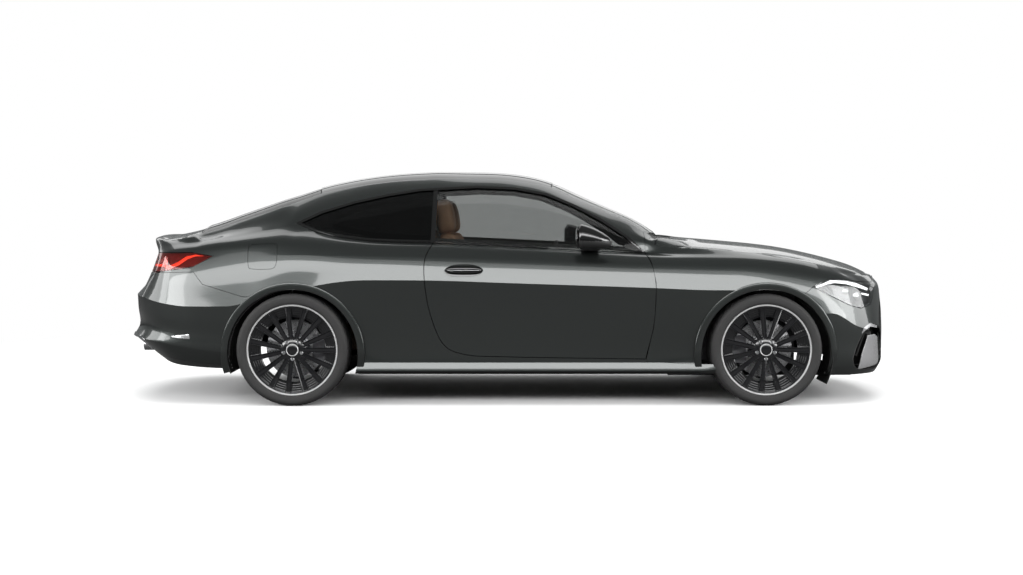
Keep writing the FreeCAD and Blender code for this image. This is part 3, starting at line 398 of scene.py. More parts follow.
# place on the outline, then (inset, height) of each line, in metres; the first four along the doors are the same
SILL = ((.110, .186), (.032, .195), (.011, .214), (.024, .262))
LOW_ROWS = [
    ((2.425, 0.000), (.075, .172), (.035, .180), (.006, .235), (.004, .360), (.003, .450), (.012, .660),
     (.020, .728), (.032, .755), (.050, .774)),
    ((2.362, 0.500), (.075, .172), (.035, .180), (.006, .235), (.003, .360), (.002, .445), (.022, .650),
     (.038, .720), (.060, .745), (.085, .768)),
    ((2.262, 0.720), (.085, .172), (.030, .180), (.006, .235), (.002, .360), (.000, .448), (.046, .640),
     (.068, .705), (.098, .745), (.132, .772)),
    ((2.130, 0.835), (.095, .172), (.030, .182), (.010, .235), (.004, .370), (.000, .478), (.042, .655),
     (.068, .725), (.102, .768), (.147, .798)),
    ((1.955, 0.897), (.105, .175), (.035, .186), (.015, .235), (.006, .400), (.000, .560), (.026, .680),
     (.058, .768), (.098, .812), (.140, .838)),
    ((1.560, 0.920), (.110, .180), (.045, .190), (.014, .260), (.014, .370), (.002, .560), (.000, .700),
     (.044, .838), (.086, .878), (.130, .899)),
    ((1.167, 0.925), *SILL, (.008, .560), (.000, .703),
     (.042, .850), (.086, .892), (.135, .915)),
    ((0.904, 0.928), *SILL, (.010, .570), (.000, .714),
     (.040, .856), (.086, .898), (.165, .922)),
    ((0.824, 0.928), *SILL, (.010, .575), (.000, .717),
     (.040, .858), (.088, .900), (.185, .928)),
    ((0.392, 0.929), *SILL, (.012, .588), (.000, .732),
     (.040, .872), (.090, .922), (.187, .952)),
    ((0.000, 0.930), *SILL, (.013, .600), (.000, .745),
     (.039, .884), (.090, .940), (.188, .971)),
    ((-0.455, 0.930), *SILL, (.013, .615), (.000, .760),
     (.038, .897), (.088, .958), (.188, .992)),
    ((-0.845, 0.929), *SILL, (.011, .618), (.000, .762),
     (.036, .905), (.085, .968), (.190, 1.006)),
    ((-1.012, 0.928), *SILL, (.009, .615), (.000, .752),
     (.036, .907), (.082, .975), (.203, 1.026)),
    ((-1.180, 0.926), (.110, .200), (.045, .215), (.010, .240), (.018, .330), (.006, .600), (.000, .725),
     (.036, .910), (.078, .982), (.226, 1.060)),
    ((-1.305, 0.924), (.110, .205), (.045, .225), (.014, .260), (.014, .370), (.004, .580), (.000, .700),
     (.038, .911), (.077, .986), (.245, 1.086)),
    ((-1.500, 0.918), (.110, .210), (.048, .232), (.014, .300), (.012, .430), (.004, .545), (.000, .650),
     (.050, .908), (.080, .982), (.215, 1.058)),
    ((-1.700, 0.910), (.110, .215), (.050, .240), (.012, .320), (.010, .430), (.004, .520), (.000, .604),
     (.060, .903), (.088, .970), (.188, 1.022)),
    ((-1.945, 0.890), (.115, .225), (.060, .260), (.012, .350), (.012, .440), (.006, .520), (.002, .602),
     (.068, .895), (.096, .945), (.175, .988)),
    ((-2.130, 0.828), (.135, .238), (.080, .280), (.006, .380), (.020, .450), (.012, .540), (.006, .622),
     (.066, .880), (.092, .930), (.165, .975)),
    ((-2.262, 0.710), (.165, .248), (.105, .295), (.000, .395), (.028, .455), (.020, .560), (.012, .648),
     (.088, .850), (.116, .920), (.155, .985)),
    ((-2.362, 0.500), (.195, .252), (.130, .300), (.000, .400), (.032, .460), (.024, .570), (.020, .654),
     (.094, .745), (.155, .912), (.135, 1.000)),
    ((-2.427, 0.000), (.195, .252), (.130, .300), (.002, .400), (.026, .462), (.020, .575), (.020, .658),
     (.110, .752), (.190, .915), (.158, 1.014)),
]
low_rows = [(station_of(*row[0]), *[v for pair in row[1:] for v in pair]) for row in LOW_ROWS]
low = curve(low_rows, along).reshape(len(along), len(LOW_LINES), 2)
low_points = np.concatenate([ring[:, None, :] + inward[:, None, :] * low[:, :, :1], low[:, :, 1:]], axis=2)
low_points[[0, -1], :, 1] = 0.0
print("lower lines:", low_points.shape)

# %% [markdown]
# The upper lines are held by their own places. The top edge runs along the bonnet's
# edge, the top of the side windows and the boot lid's edge. The rail runs along the
# edge of the windscreen, the roof and the rear window. The middle line is the car's
# silhouette.

# %% The upper lines
MIDDLE = [(-2.270, 1.018), (-2.240, 1.031), (-2.160, 1.033), (-2.080, 1.046), (-2.000, 1.065), (-1.920, 1.086),
          (-1.840, 1.110), (-1.680, 1.169), (-1.520, 1.226), (-1.360, 1.280), (-1.200, 1.329), (-1.040, 1.366),
          (-0.880, 1.392), (-0.720, 1.411), (-0.560, 1.423), (-0.360, 1.4285), (-0.080, 1.424), (0.0, 1.419),
          (0.16, 1.395), (0.24, 1.373), (0.32, 1.346), (0.48, 1.266), (0.64, 1.179), (0.80, 1.092), (0.88, 1.048),
          (0.93, 1.028), (0.99, 1.028), (1.12, 1.013), (1.28, 1.000), (1.44, 0.986), (1.60, 0.971), (1.76, 0.950),
          (1.92, 0.919), (2.08, 0.880), (2.24, 0.832), (2.32, 0.799), (2.36, 0.780)]
# half width of the bonnet's edge by place along the car
BONNET_EDGE = [(0.80, 0.742), (0.904, 0.735), (1.167, 0.735), (1.45, 0.727), (1.67, 0.714), (1.90, 0.680),
               (2.02, 0.648), (2.14, 0.590), (2.22, 0.520), (2.29, 0.400), (2.345, 0.30)]
# how far each falls from its middle to its edge, and the power of that fall
BONNET_FALL, BONNET_POWER = 0.057, 2.3
LID_FALL, LID_POWER = 0.046, 2.2
LID_EDGE = 0.62


def bonnet_height(x, y):
    """Height of the bonnet at places along and across the car."""
    edge = curve(BONNET_EDGE, x)[:, 0]
    return curve(MIDDLE, x)[:, 0] - BONNET_FALL * (np.abs(y) / edge) ** BONNET_POWER


def lid_height(x, y):
    """Height of the deck at places along and across the car."""
    return curve(MIDDLE, x)[:, 0] - LID_FALL * (np.abs(y) / LID_EDGE) ** LID_POWER


# key place on the outline, then the plan place of the top edge, the rail and the middle
NOSE_PLAN = [
    ((2.425, 0.0), (2.343, 0.0), (2.230, 0.0), (2.08, 0.0)),
    ((2.409, 0.26), (2.335, 0.190), (2.230, 0.105), (2.08, 0.0)),
    ((2.362, 0.50), (2.305, 0.350), (2.205, 0.190), (2.08, 0.0)),
    ((2.262, 0.72), (2.215, 0.515), (2.150, 0.300), (2.08, 0.0)),
    ((2.13, 0.835), (2.090, 0.620), (2.080, 0.400), (2.06, 0.0)),
    ((1.955, 0.897), (1.930, 0.675), (1.950, 0.440), (1.98, 0.0)),
    ((1.56, 0.920), (1.560, 0.722), (1.610, 0.460), (1.66, 0.0)),
    ((1.167, 0.925), (1.167, 0.735), (1.250, 0.480), (1.33, 0.0)),
    ((0.904, 0.928), (0.904, 0.735), (0.990, 0.500), (1.07, 0.0)),
]
TAIL_PLAN = [
    ((-1.945, 0.890), (-1.945, 0.650), (-1.945, 0.560), (-1.945, 0.0)),
    ((-2.13, 0.828), (-2.068, 0.604), (-2.070, 0.460), (-2.050, 0.0)),
    ((-2.262, 0.71), (-2.140, 0.515), (-2.130, 0.360), (-2.080, 0.0)),
    ((-2.362, 0.50), (-2.208, 0.378), (-2.170, 0.240), (-2.090, 0.0)),
    ((-2.412, 0.26), (-2.246, 0.200), (-2.195, 0.120), (-2.090, 0.0)),
    ((-2.427, 0.0), (-2.260, 0.0), (-2.205, 0.0), (-2.090, 0.0)),
]
# place along the car, (half width, height) of the top edge and of the rail, reach of the middle ahead
CABIN_ROWS = [
    (0.870, .728, .990, .640, 1.002, .110), (0.824, .722, 1.000, .625, 1.035, .106),
    (0.724, .706, 1.023, .598, 1.094, .098), (0.574, .656, 1.123, .562, 1.172, .072),
    (0.398, .602, 1.218, .524, 1.254, .045), (0.231, .573, 1.285, .484, 1.332, .025),
    (0.040, .564, 1.320, .466, 1.374, .010), (-0.199, .566, 1.330, .464, 1.388, .0),
    (-0.438, .570, 1.320, .464, 1.389, .0), (-0.551, .572, 1.311, .464, 1.384, .0),
    (-0.754, .582, 1.278, .463, 1.367, -.010), (-0.955, .603, 1.234, .462, 1.340, -.024),
    (-1.155, .632, 1.172, .470, 1.295, -.036), (-1.295, .664, 1.112, .494, 1.245, -.032),
    (-1.440, .640, 1.105, .520, 1.195, -.026), (-1.690, .640, 1.058, .562, 1.108, -.010),
    (-1.900, .640, 1.012, .575, 1.046, .0),
]
top_rows, rail_rows, middle_rows = [], [], []
for rows, height in ((NOSE_PLAN, bonnet_height), (TAIL_PLAN, lid_height)):
    for key, top, rail, middle in rows:
        s = station_of(*key)
        for table, (x, y) in ((top_rows, top), (rail_rows, rail), (middle_rows, middle)):
            table.append((s, x, y, float(height([x], np.array([y]))[0])))
for x, top_y, top_z, rail_y, rail_z, ahead in CABIN_ROWS:
    s = station_of(x, 0.93)
    top_rows.append((s, x, top_y, top_z))
    rail_rows.append((s, x + 0.45 * ahead, rail_y, rail_z))
    middle_rows.append((s, x + ahead, 0.0, float(curve(MIDDLE, [x + ahead])[0, 0])))
upper_points = np.stack([curve(rows, along) for rows in (top_rows, rail_rows, middle_rows)], axis=1)
upper_points[:, 2, 1] = 0.0
upper_points[[0, -1], :, 1] = 0.0
upper_points[:, 2, 2] = curve(MIDDLE, upper_points[:, 2, 0])[:, 0]
lines = np.concatenate([low_points, upper_points], axis=1)
LINES = LOW_LINES + ("top", "rail", "middle")
print("lines:", len(LINES))

# %% [markdown]
# Between two lines the section is a cubic curve. A line can be sharp, so that the two
# curves that meet there keep their own directions, or soft, so that they share one. The
# main crease is sharp along the doors and fades towards the lamps, and the belt is sharp
# only where the side window stands on it.

# %% How sharp each line is, along the car
SHARP = {
    "heel": [(2.5, .8), (-2.5, .8)],
    "ledge": [(2.3, .2), (1.9, .4), (1.3, .8), (-1.1, .8), (-1.9, .5), (-2.3, .8)],
    "low": [(2.0, .0), (1.1, .6), (.7, .8), (-.7, .8), (-1.0, .5), (-1.6, .0)],
    "waist": [(2.40, .0), (2.3, .8), (1.9, .8), (1.6, .1), (-2.2, .1)],
    "crease": [(2.35, .3), (1.95, .1), (1.6, .7), (1.0, 1.0), (-1.0, 1.0), (-2.3, 1.0)],
    "shoulder": [(2.2, .0), (1.9, .2), (1.2, .35), (-1.2, .35), (-1.8, .1), (-2.1, .0)],
    "belt": [(1.0, .0), (.8, 1.0), (-1.1, 1.0), (-1.34, .0)],
    "upper": [(-2.1, .0), (-2.3, .5)],
}
STEPS = (2, 3, 5, 4, 5, 5, 4, 4, 8, 6, 12)
place = ring[:, 0]
chord = np.diff(lines, axis=1)
length = np.maximum(np.linalg.norm(chord, axis=2), 1e-6)
unit = chord / length[:, :, None]
into = np.concatenate([unit[:, :1], unit], axis=1)
out_of = np.concatenate([unit, unit[:, -1:]], axis=1)
weight_in = np.concatenate([length[:, :1], length], axis=1)[:, :, None]
weight_out = np.concatenate([length, length[:, -1:]], axis=1)[:, :, None]
shared = (into * weight_out + out_of * weight_in) / (weight_in + weight_out)
shared[:, -1, 2] = 0.0
for i, name in enumerate(LINES):
    if name in SHARP:
        amount = curve(SHARP[name], place)[:, :1]
        into[:, i] = into[:, i] * amount + shared[:, i] * (1 - amount)
        out_of[:, i] = out_of[:, i] * amount + shared[:, i] * (1 - amount)
    else:
        into[:, i] = out_of[:, i] = shared[:, i]
rows, starts = [], []
for i, steps in enumerate(STEPS):
    starts.append(len(rows))
    a, b = lines[:, i], lines[:, i + 1]
    pull = length[:, i][:, None]
    for t in np.arange(steps) / steps:
        rows.append(blend(t, a, pull * out_of[:, i], b, pull * into[:, i + 1]))
starts.append(len(rows))
rows.append(lines[:, -1])
skin = np.stack(rows, axis=1)
row_of = dict(zip(LINES, starts))
# the bonnet and the deck are plain functions of their place, so their grid is laid on them
bonnet_share = np.clip((place - 1.02) / 0.10, 0, 1)
lid_share = np.clip((-1.95 - place) / 0.08, 0, 1)
for height, share in ((bonnet_height, bonnet_share), (lid_height, lid_share)):
    upper_part = skin[:, row_of["top"]:]
    flat_x, flat_y = upper_part[..., 0].ravel(), upper_part[..., 1].ravel()
    laid = height(flat_x, flat_y).reshape(upper_part.shape[:2])
    upper_part[..., 2] += (laid - upper_part[..., 2]) * share[:, None]
print("skin grid:", skin.shape, "highest", round(float(skin[..., 2].max()), 3))

# %% [markdown]
# ## Cutting the skin into panels
#
# On the real car each panel is a thin pressing with a folded edge, and a gap of a few
# millimetres parts it from the next. A panel here starts as a grid laid on the skin over
# the lines and stations that it needs. It gets its wall thickness inwards, then closed
# cutters take away what lies beyond its shut lines. The cut edges are bevelled a little,
# since a folded edge is never knife sharp, and that is what makes a gap catch the light.


# %% Helpers: a mesh as a piece, cutters, and a slab of skin
def outwards(mesh):
    """Turns the faces of a mesh outwards."""
    bmesh.ops.recalc_face_normals(mesh, faces=mesh.faces)
    return mesh


def shift(mesh, step):
    """Moves a whole mesh."""
    bmesh.ops.translate(mesh, vec=step, verts=mesh.verts)
    return mesh


def turn(mesh, degrees, axis):
    """Turns a whole mesh about an axis through the origin."""
    bmesh.ops.rotate(mesh, cent=(0, 0, 0), matrix=Matrix.Rotation(math.radians(degrees), 3, axis), verts=mesh.verts)
    return mesh


def as_object(name, mesh, materials=(), smooth=35.0):
    """A bmesh as a finished object at the origin, with its sharp edges marked."""
    bmesh.ops.remove_doubles(mesh, verts=mesh.verts, dist=1e-6)
    limit = math.radians(smooth)
    for face in mesh.faces:
        face.smooth = True
    for edge in mesh.edges:
        edge.smooth = len(edge.link_faces) == 2 and edge.calc_face_angle(0.0) < limit
    data = bpy.data.meshes.new(name)
    mesh.to_mesh(data)
    mesh.free()
    made = bpy.data.objects.new(name, data)
    scene.collection.objects.link(made)
    for material in materials:
        data.materials.append(material)
    return made


def drop_in(mesh, name, material, body="car_body", stands=(), smooth=35.0):
    """A bmesh as a finished piece with its body, slot and the node that it replaces."""
    made = as_object(name, mesh, [material], smooth)
    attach(made, body)
    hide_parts(*stands)
    return made


def verts_in(geom):
    """The points among what an operator gives back."""
    return [item for item in geom if isinstance(item, bmesh.types.BMVert)]


# the points of an outline are (x, z) from the side, (x, y) in plan and (y, z) from the front
VIEWS = {"y": lambda a, b, c: (a, c, b), "z": lambda a, b, c: (a, b, c), "x": lambda a, b, c: (c, a, b)}


def prism(points, low, high, axis="y"):
    """A closed cutter: an outline drawn along the axis that it is seen from."""
    mesh = bmesh.new()
    face = mesh.faces.new([mesh.verts.new(VIEWS[axis](a, b, low)) for a, b in points])
    top = bmesh.ops.extrude_face_region(mesh, geom=[face])["geom"]
    bmesh.ops.translate(mesh, vec=Vector(VIEWS[axis](0, 0, high - low)), verts=verts_in(top))
    return as_object("cutter", outwards(mesh))


def arch_cutter(middle, low, high):
    """A closed round cutter for a wheel arch."""
    turns = [2 * math.pi * i / 96 for i in range(96)]
    return prism([(middle[0] + ARCH_RADIUS * math.cos(a), middle[1] + ARCH_RADIUS * math.sin(a)) for a in turns],
                 low, high)


def outer(inner, sign):
    """From a half width to beyond the car's side, lowest first."""
    return sorted((inner * sign, OUT * sign))


def grow(points, distance):
    """Moves each side of a closed outline outwards, or inwards if the distance is negative."""
    p = [Vector(q) for q in points]
    way = 1 if sum(a.cross(b) for a, b in zip(p, p[1:] + p[:1])) > 0 else -1
    moved = []
    for before, here, after in zip(p[-1:] + p[:-1], p, p[1:] + p[:1]):
        d1, d2 = (here - before).normalized(), (after - here).normalized()
        n1, n2 = Vector((d1.y, -d1.x)) * way, Vector((d2.y, -d2.x)) * way
        moved.append(tuple(here + (n1 + n2) * (distance / max(1 + n1.dot(n2), 0.3))))
    return moved


def rounded(points, steps=4, keep=()):
    """A smooth closed outline through the points; corners listed in keep stay sharp."""
    n = len(points)
    out = []
    for i in range(n):
        p0, p1, p2, p3 = (np.array(points[(i + k) % n], float) for k in (-1, 0, 1, 2))
        size = np.linalg.norm(p2 - p1)
        m1 = (p2 - p1) if i in keep else (p2 - p0) * size / (np.linalg.norm(p2 - p1) + np.linalg.norm(p1 - p0))
        j = (i + 1) % n
        m2 = (p2 - p1) if j in keep else (p3 - p1) * size / (np.linalg.norm(p3 - p2) + np.linalg.norm(p2 - p1))
        out += [tuple(blend(t, p1, m1, p2, m2)) for t in np.arange(steps) / steps]
    return out


def slab(name, x_range, line_range, thickness, both=False, sign=1, proud=0.0):
    """Skin between two lines and two places along the car, thickened inwards."""
    inside_range = np.nonzero((place <= x_range[1]) & (place >= x_range[0]))[0]
    i0, i1 = inside_range[0], inside_range[-1]
    j0, j1 = row_of[line_range[0]], row_of[line_range[1]]
    part = skin[i0:i1 + 1, j0:j1 + 1]
    n, m = part.shape[0] - 1, part.shape[1] - 1
    mesh = bmesh.new()
    bmesh.ops.create_grid(mesh, x_segments=n, y_segments=m, size=1.0)
    for v in mesh.verts:
        i = round((v.co.x + 1) / 2 * n)
        j = round((v.co.y + 1) / 2 * m)
        v.co = part[i, j]
    bmesh.ops.remove_doubles(mesh, verts=mesh.verts, dist=1e-5)
    bmesh.ops.dissolve_degenerate(mesh, dist=1e-6, edges=mesh.edges)
    if both:
        bmesh.ops.mirror(mesh, geom=mesh.verts[:] + mesh.edges[:] + mesh.faces[:], axis="Y", merge_dist=1e-4)
    elif sign < 0:
        bmesh.ops.scale(mesh, vec=(1, -1, 1), verts=mesh.verts)
    outwards(mesh)
    centre = Vector((0, 0 if both else 0.3 * sign, 0.5))
    if sum(np.sign(f.normal.dot(f.calc_center_median() - centre)) for f in mesh.faces) < 0:
        bmesh.ops.reverse_faces(mesh, faces=mesh.faces)
    if proud:
        mesh.normal_update()
        for v, push in [(v, v.normal * proud) for v in mesh.verts]:
            v.co += push
    bmesh.ops.solidify(mesh, geom=mesh.faces[:], thickness=thickness)
    return as_object(name, outwards(mesh))


def cut(piece, keep=(), remove=()):
    """Keeps what lies inside every cutter of the first list and outside every one of the second."""
    cuts = [(c, "INTERSECT") for c in keep] + [(c, "DIFFERENCE") for c in remove]
    for cutter, action in cuts:
        step = piece.modifiers.new("cut", "BOOLEAN")
        step.operation = action
        step.solver = "MANIFOLD"
        step.object = cutter
    whole = bpy.data.meshes.new_from_object(piece.evaluated_get(bpy.context.evaluated_depsgraph_get()))
    piece.modifiers.clear()
    piece.data = whole
    for cutter, _ in cuts:
        bpy.data.objects.remove(cutter)
    return piece


# %% The shine of the uncut skin, for the panels cut from it
def side_normals(step):
    """Outward normals of the grid for one way of stepping from line to line."""
    n = np.cross(np.gradient(skin, axis=0), step)
    return n / np.maximum(np.linalg.norm(n, axis=2, keepdims=True), 1e-9)


ahead = np.diff(skin, axis=1, append=skin[:, -1:] * 2 - skin[:, -2:-1])
behind = np.diff(skin, axis=1, prepend=skin[:, :1] * 2 - skin[:, 1:2])
above, below = side_normals(ahead), side_normals(behind)
keep_apart = np.zeros(skin.shape[:2])
for line_name, amounts in SHARP.items():
    keep_apart[:, row_of[line_name]] = curve(amounts, place)[:, 0]
keep_apart = keep_apart[:, :, None]
even = above + below
above = above * keep_apart + even * 0.5 * (1 - keep_apart)
below = below * keep_apart + even * 0.5 * (1 - keep_apart)
if np.sum(above[..., 1]) < 0:
    above, below = -above, -below
wide = skin.shape[1]
cells = [(i, j) for i in range(skin.shape[0] - 1) for j in range(wide - 1)]
first_corners = [i * wide + j for i, j in cells]
skin_tree = BVHTree.FromPolygons([tuple(p) for p in skin.reshape(-1, 3)],
                                 [(k, k + wide, k + wide + 1, k + 1) for k in first_corners])
# a point further from the skin than this, or a face turned further from it, keeps its own normal
SKIN_REACH = 0.0014
SKIN_TURN = 0.87


def skin_normal(spot):
    """The normal of the uncut skin at a point on it, or None away from it."""
    side = 1 if spot.y >= 0 else -1
    near, _, index, gap = skin_tree.find_nearest(Vector((spot.x, spot.y * side, spot.z)))
    if gap > SKIN_REACH:
        return None
    i, j = cells[index]
    corner, one, two = skin[i, j], skin[i + 1, j] - skin[i, j], skin[i, j + 1] - skin[i, j]
    at = np.array(near) - corner
    u = min(1.0, max(0.0, float(at @ one) / max(float(one @ one), 1e-12)))
    v = min(1.0, max(0.0, float(at @ two) / max(float(two @ two), 1e-12)))
    n = ((above[i, j] * (1 - u) + above[i + 1, j] * u) * (1 - v)
         + (below[i, j + 1] * (1 - u) + below[i + 1, j + 1] * u) * v)
    n = Vector((n[0], n[1] * side, n[2]))
    return n.normalized() if n.length > 0.3 else None


def lay_normals(made):
    """Gives the outer faces of a cut panel the uncut skin's normals, so that a cut leaves no mark in the shine."""
    data = made.data
    wanted = [(0.0, 0.0, 0.0)] * len(data.loops)
    for face in data.polygons:
        for k in face.loop_indices:
            spot = data.vertices[data.loops[k].vertex_index].co
            n = skin_normal(spot + (face.center - spot).normalized() * 0.0004)
            if n and n.dot(face.normal) > SKIN_TURN:
                wanted[k] = tuple(n)
    data.normals_split_custom_set(wanted)


def panel(piece, body, material, stands=(), edge=0.0009):
    """Finishes a cut slab: bevelled edges, material, its body and the CAD panel that it stands for."""
    name = piece.name
    mesh = bmesh.new()
    mesh.from_mesh(piece.data)
    bmesh.ops.remove_doubles(mesh, verts=mesh.verts, dist=2e-5)
    sharp = [e for e in mesh.edges if len(e.link_faces) == 2 and e.calc_face_angle(0.0) > math.radians(50)]
    if edge:
        bmesh.ops.bevel(mesh, geom=sharp, offset=edge, segments=2, profile=0.5, affect="EDGES", clamp_overlap=True,
                        material=-1)
    bpy.data.objects.remove(piece)
    made = drop_in(mesh, name, material, body, stands, 28.0)
    lay_normals(made)
    print(name, len(made.data.polygons), "faces")
    return made


def patch(name, outline, sign, material, x_range, thick=0.006, proud=0.0, edge=0.0, drop=(), stands=(),
          lines=("foot", "top"), inner=0.30, body="car_body"):
    """Cuts one piece of skin by an outline from the side; a sign of 0 takes an outline from the front."""
    piece = slab(name, x_range, lines, thick, both=sign == 0, sign=sign or 1, proud=proud)
    low, high, axis = (*outer(inner, sign), "y") if sign else (*x_range, "x")
    cut(piece, keep=[prism(outline, low, high, axis)], remove=[prism(d, low, high, axis) for d in drop])
    panel(piece, body, material, stands, edge)


def plan_patch(name, outline, x_range, lowest, heights, body, material, stands, thick=0.022, proud=0.0,
               edge=0.0):
    """Cuts one piece of the upper skin, from its lowest line to the middle, by a half outline in plan."""
    piece = slab(name, x_range, (lowest, "middle"), thick, both=True, proud=proud)
    cut(piece, keep=[prism(whole_plan(outline), *heights, "z")])
    panel(piece, body, material, stands, edge)


# %% [markdown]
# The shut lines are drawn where a body maker would tape them: in side view for the doors,
# the wings and the bumpers, and in plan for the bonnet and the boot lid. A point list is
# in metres.

# %% Shut lines
DOOR = [(-0.451, 0.995), (-0.502, 0.890), (-0.504, 0.765), (-0.480, 0.598), (-0.422, 0.425), (-0.365, 0.350),
        (-0.273, 0.316), (-0.169, 0.303), (0.829, 0.286), (0.876, 0.482), (0.887, 0.632), (0.887, 0.748),
        (0.864, 0.861), (0.827, 0.930), (0.392, 0.952), (0.039, 0.970)]
DOOR_SHARP = (0, 8, 13)
DOOR_GLASS = [(0.724, 1.023), (0.827, 0.930), (0.392, 0.952), (0.039, 0.970), (-0.451, 0.993), (-0.438, 1.317),
              (-0.199, 1.330), (0.040, 1.320), (0.231, 1.285), (0.398, 1.218), (0.574, 1.123)]
QUARTER = [(-0.459, 0.993), (-0.675, 0.998), (-0.845, 1.005), (-1.012, 1.025), (-1.180, 1.058), (-1.295, 1.106),
           (-1.155, 1.172), (-0.955, 1.234), (-0.754, 1.278), (-0.551, 1.311), (-0.446, 1.317)]
SIDE_GLASS = DOOR_GLASS[:4] + QUARTER[:-1] + DOOR_GLASS[6:]
BONNET_PLAN = [(1.070, 0.0), (1.050, 0.25), (1.020, 0.400), (0.960, 0.590), (0.904, 0.735), (1.167, 0.738),
               (1.450, 0.728), (1.670, 0.715), (1.900, 0.682), (2.020, 0.650), (2.140, 0.585), (2.220, 0.508),
               (2.290, 0.375), (2.330, 0.220), (2.343, 0.0)]
LID_PLAN = [(-1.930, 0.0), (-1.930, 0.540), (-2.475, 0.540), (-2.475, 0.0)]
LID_LOW = 0.748
LAMP = [(1.845, 0.721), (1.958, 0.764), (2.060, 0.757), (2.163, 0.742), (2.285, 0.700), (2.262, 0.640), (2.238, 0.603),
        (2.158, 0.586), (2.070, 0.610), (1.993, 0.647)]
TAIL_LAMP = [(-1.800, 0.905), (-1.930, 0.925), (-2.400, 0.918), (-2.400, 0.800), (-2.156, 0.806), (-1.920, 0.840)]
NOSE_SPLIT = [(1.690, 0.600), (1.780, 0.668), (1.845, 0.721), (1.958, 0.764), (2.163, 0.742), (2.275, 0.735),
              (2.350, 0.772), (2.50, 0.772), (2.50, 0.10), (1.690, 0.10)]
TAIL_SPLIT = [(-1.480, 0.655), (-1.610, 0.661), (-1.853, 0.734), (-1.912, 0.808), (-2.156, 0.800), (-2.285, 0.742),
              (-2.50, 0.742), (-2.50, 0.10), (-1.480, 0.10)]
WING_SPLIT = [(0.840, 1.30), (0.840, 0.940), (0.869, 0.861), (0.892, 0.748), (0.892, 0.632), (0.881, 0.482),
              (0.836, 0.284), (0.841, 0.268), (1.144, 0.254), (1.300, 0.254), (1.70, 0.10), (2.50, 0.10), (2.50, 1.30)]
FRONT_ARCH, REAR_ARCH = (1.560, 0.310), (-1.305, 0.310)
ARCH_RADIUS = 0.395
# wall of a panel, width of a shut line, and a place beyond the car's side where every cutter ends
WALL = 0.022
GAP = 0.0045
OUT = 1.3


def whole_plan(points):
    """A half outline in plan, closed on the other side of the car."""
    return points + [(x, -y) for x, y in reversed(points) if y > 0]


print("shut lines ready, gap", GAP)

# %% [markdown]
# ### The panels
#
# Each one is cut from its own slab. The two sides use the same code with the sign of the
# side, so they can't drift apart.

# %% Bonnet, boot lid and roof
BONNET_HOLE = whole_plan(grow(whole_plan(BONNET_PLAN), GAP)[:len(BONNET_PLAN)])
LID_HOLE = whole_plan(grow(whole_plan(LID_PLAN), GAP)[:len(LID_PLAN)])
ROOF_PLAN = [(0.288, 0.0), (0.284, 0.25), (0.268, 0.468), (0.0, 0.468), (-0.6, 0.466), (-1.180, 0.466),
             (-1.21, 0.25), (-1.222, 0.0)]
# width of the folded edge of a painted panel, and the heights that the cutters in plan span
FOLD = 0.0009
BONNET_HEIGHTS = (0.6, 1.3)
ROOF_HEIGHTS = (1.2, 1.6)
plan_patch("bonnet_panel", BONNET_PLAN, (0.70, 2.5), "upper", BONNET_HEIGHTS, "bonnet_lid", paint, ["bonnet"],
           edge=FOLD)
plan_patch("boot_lid_panel", LID_PLAN, (-2.5, -1.75), "crease", (LID_LOW, 1.3), "boot_cover", paint, ["boot_lid"],
           edge=FOLD)
plan_patch("roof_panel_skin", ROOF_PLAN, (-1.5, 0.6), "top", ROOF_HEIGHTS, "car_body", gloss_black, ["roof_panel"],
           0.03, edge=FOLD)

# %% Front and rear bumpers
def mirror_front(points):
    """A half outline seen from the front, closed on the other side."""
    return points + [(-y, z) for y, z in reversed(points) if y > 0]


GRILLE = mirror_front([(0.0, 0.690), (0.430, 0.690), (0.462, 0.610), (0.360, 0.430), (0.0, 0.430)])
LOW_INTAKE = mirror_front([(0.0, 0.365), (0.440, 0.365), (0.520, 0.300), (0.480, 0.235), (0.0, 0.235)])
CORNER_INTAKE = rounded([(2.160, 0.428), (2.226, 0.486), (2.300, 0.470), (2.350, 0.400), (2.350, 0.222),
                         (2.140, 0.208), (2.106, 0.236), (2.098, 0.292)], 3)
HANDLE = rounded([(-0.386, 0.818), (-0.350, 0.848), (-0.270, 0.857), (-0.190, 0.849), (-0.152, 0.822),
                  (-0.180, 0.792), (-0.270, 0.782), (-0.350, 0.788)], 4)
FUEL_FLAP = rounded([(-1.400, 0.968), (-1.400, 0.870), (-1.415, 0.835), (-1.450, 0.826), (-1.560, 0.828),
                     (-1.575, 0.845), (-1.578, 0.960), (-1.565, 0.975), (-1.415, 0.980)], 3, (0,))
LAMP_HOLE = grow(LAMP, 0.003)
TAIL_LAMP_HOLE = grow(TAIL_LAMP, 0.003)
# places along the car between which the holes of the nose are cut
FACE = (2.0, 2.6)
bumper = slab("front_bumper_skin", (1.6, 2.5), ("foot", "top"), WALL, both=True)
cut(bumper, keep=[prism(NOSE_SPLIT, -OUT, OUT)],
    remove=[prism(BONNET_HOLE, *BONNET_HEIGHTS, "z"), prism(LAMP_HOLE, -OUT, OUT), prism(GRILLE, *FACE, "x"),
            prism(LOW_INTAKE, *FACE, "x"), prism(CORNER_INTAKE, 0.50, OUT), prism(CORNER_INTAKE, -OUT, -0.50),
            arch_cutter(FRONT_ARCH, -OUT, OUT)])
panel(bumper, "car_body", paint, ["front_bumper"])
bumper = slab("rear_bumper_skin", (-2.5, -1.4), ("foot", "upper"), WALL, both=True)
cut(bumper, keep=[prism(TAIL_SPLIT, -OUT, OUT)],
    remove=[prism(LID_HOLE, LID_LOW - GAP, 1.3, "z"), prism(TAIL_LAMP_HOLE, -OUT, OUT),
            arch_cutter(REAR_ARCH, -OUT, OUT)])
panel(bumper, "car_body", paint, ["rear_bumper"])

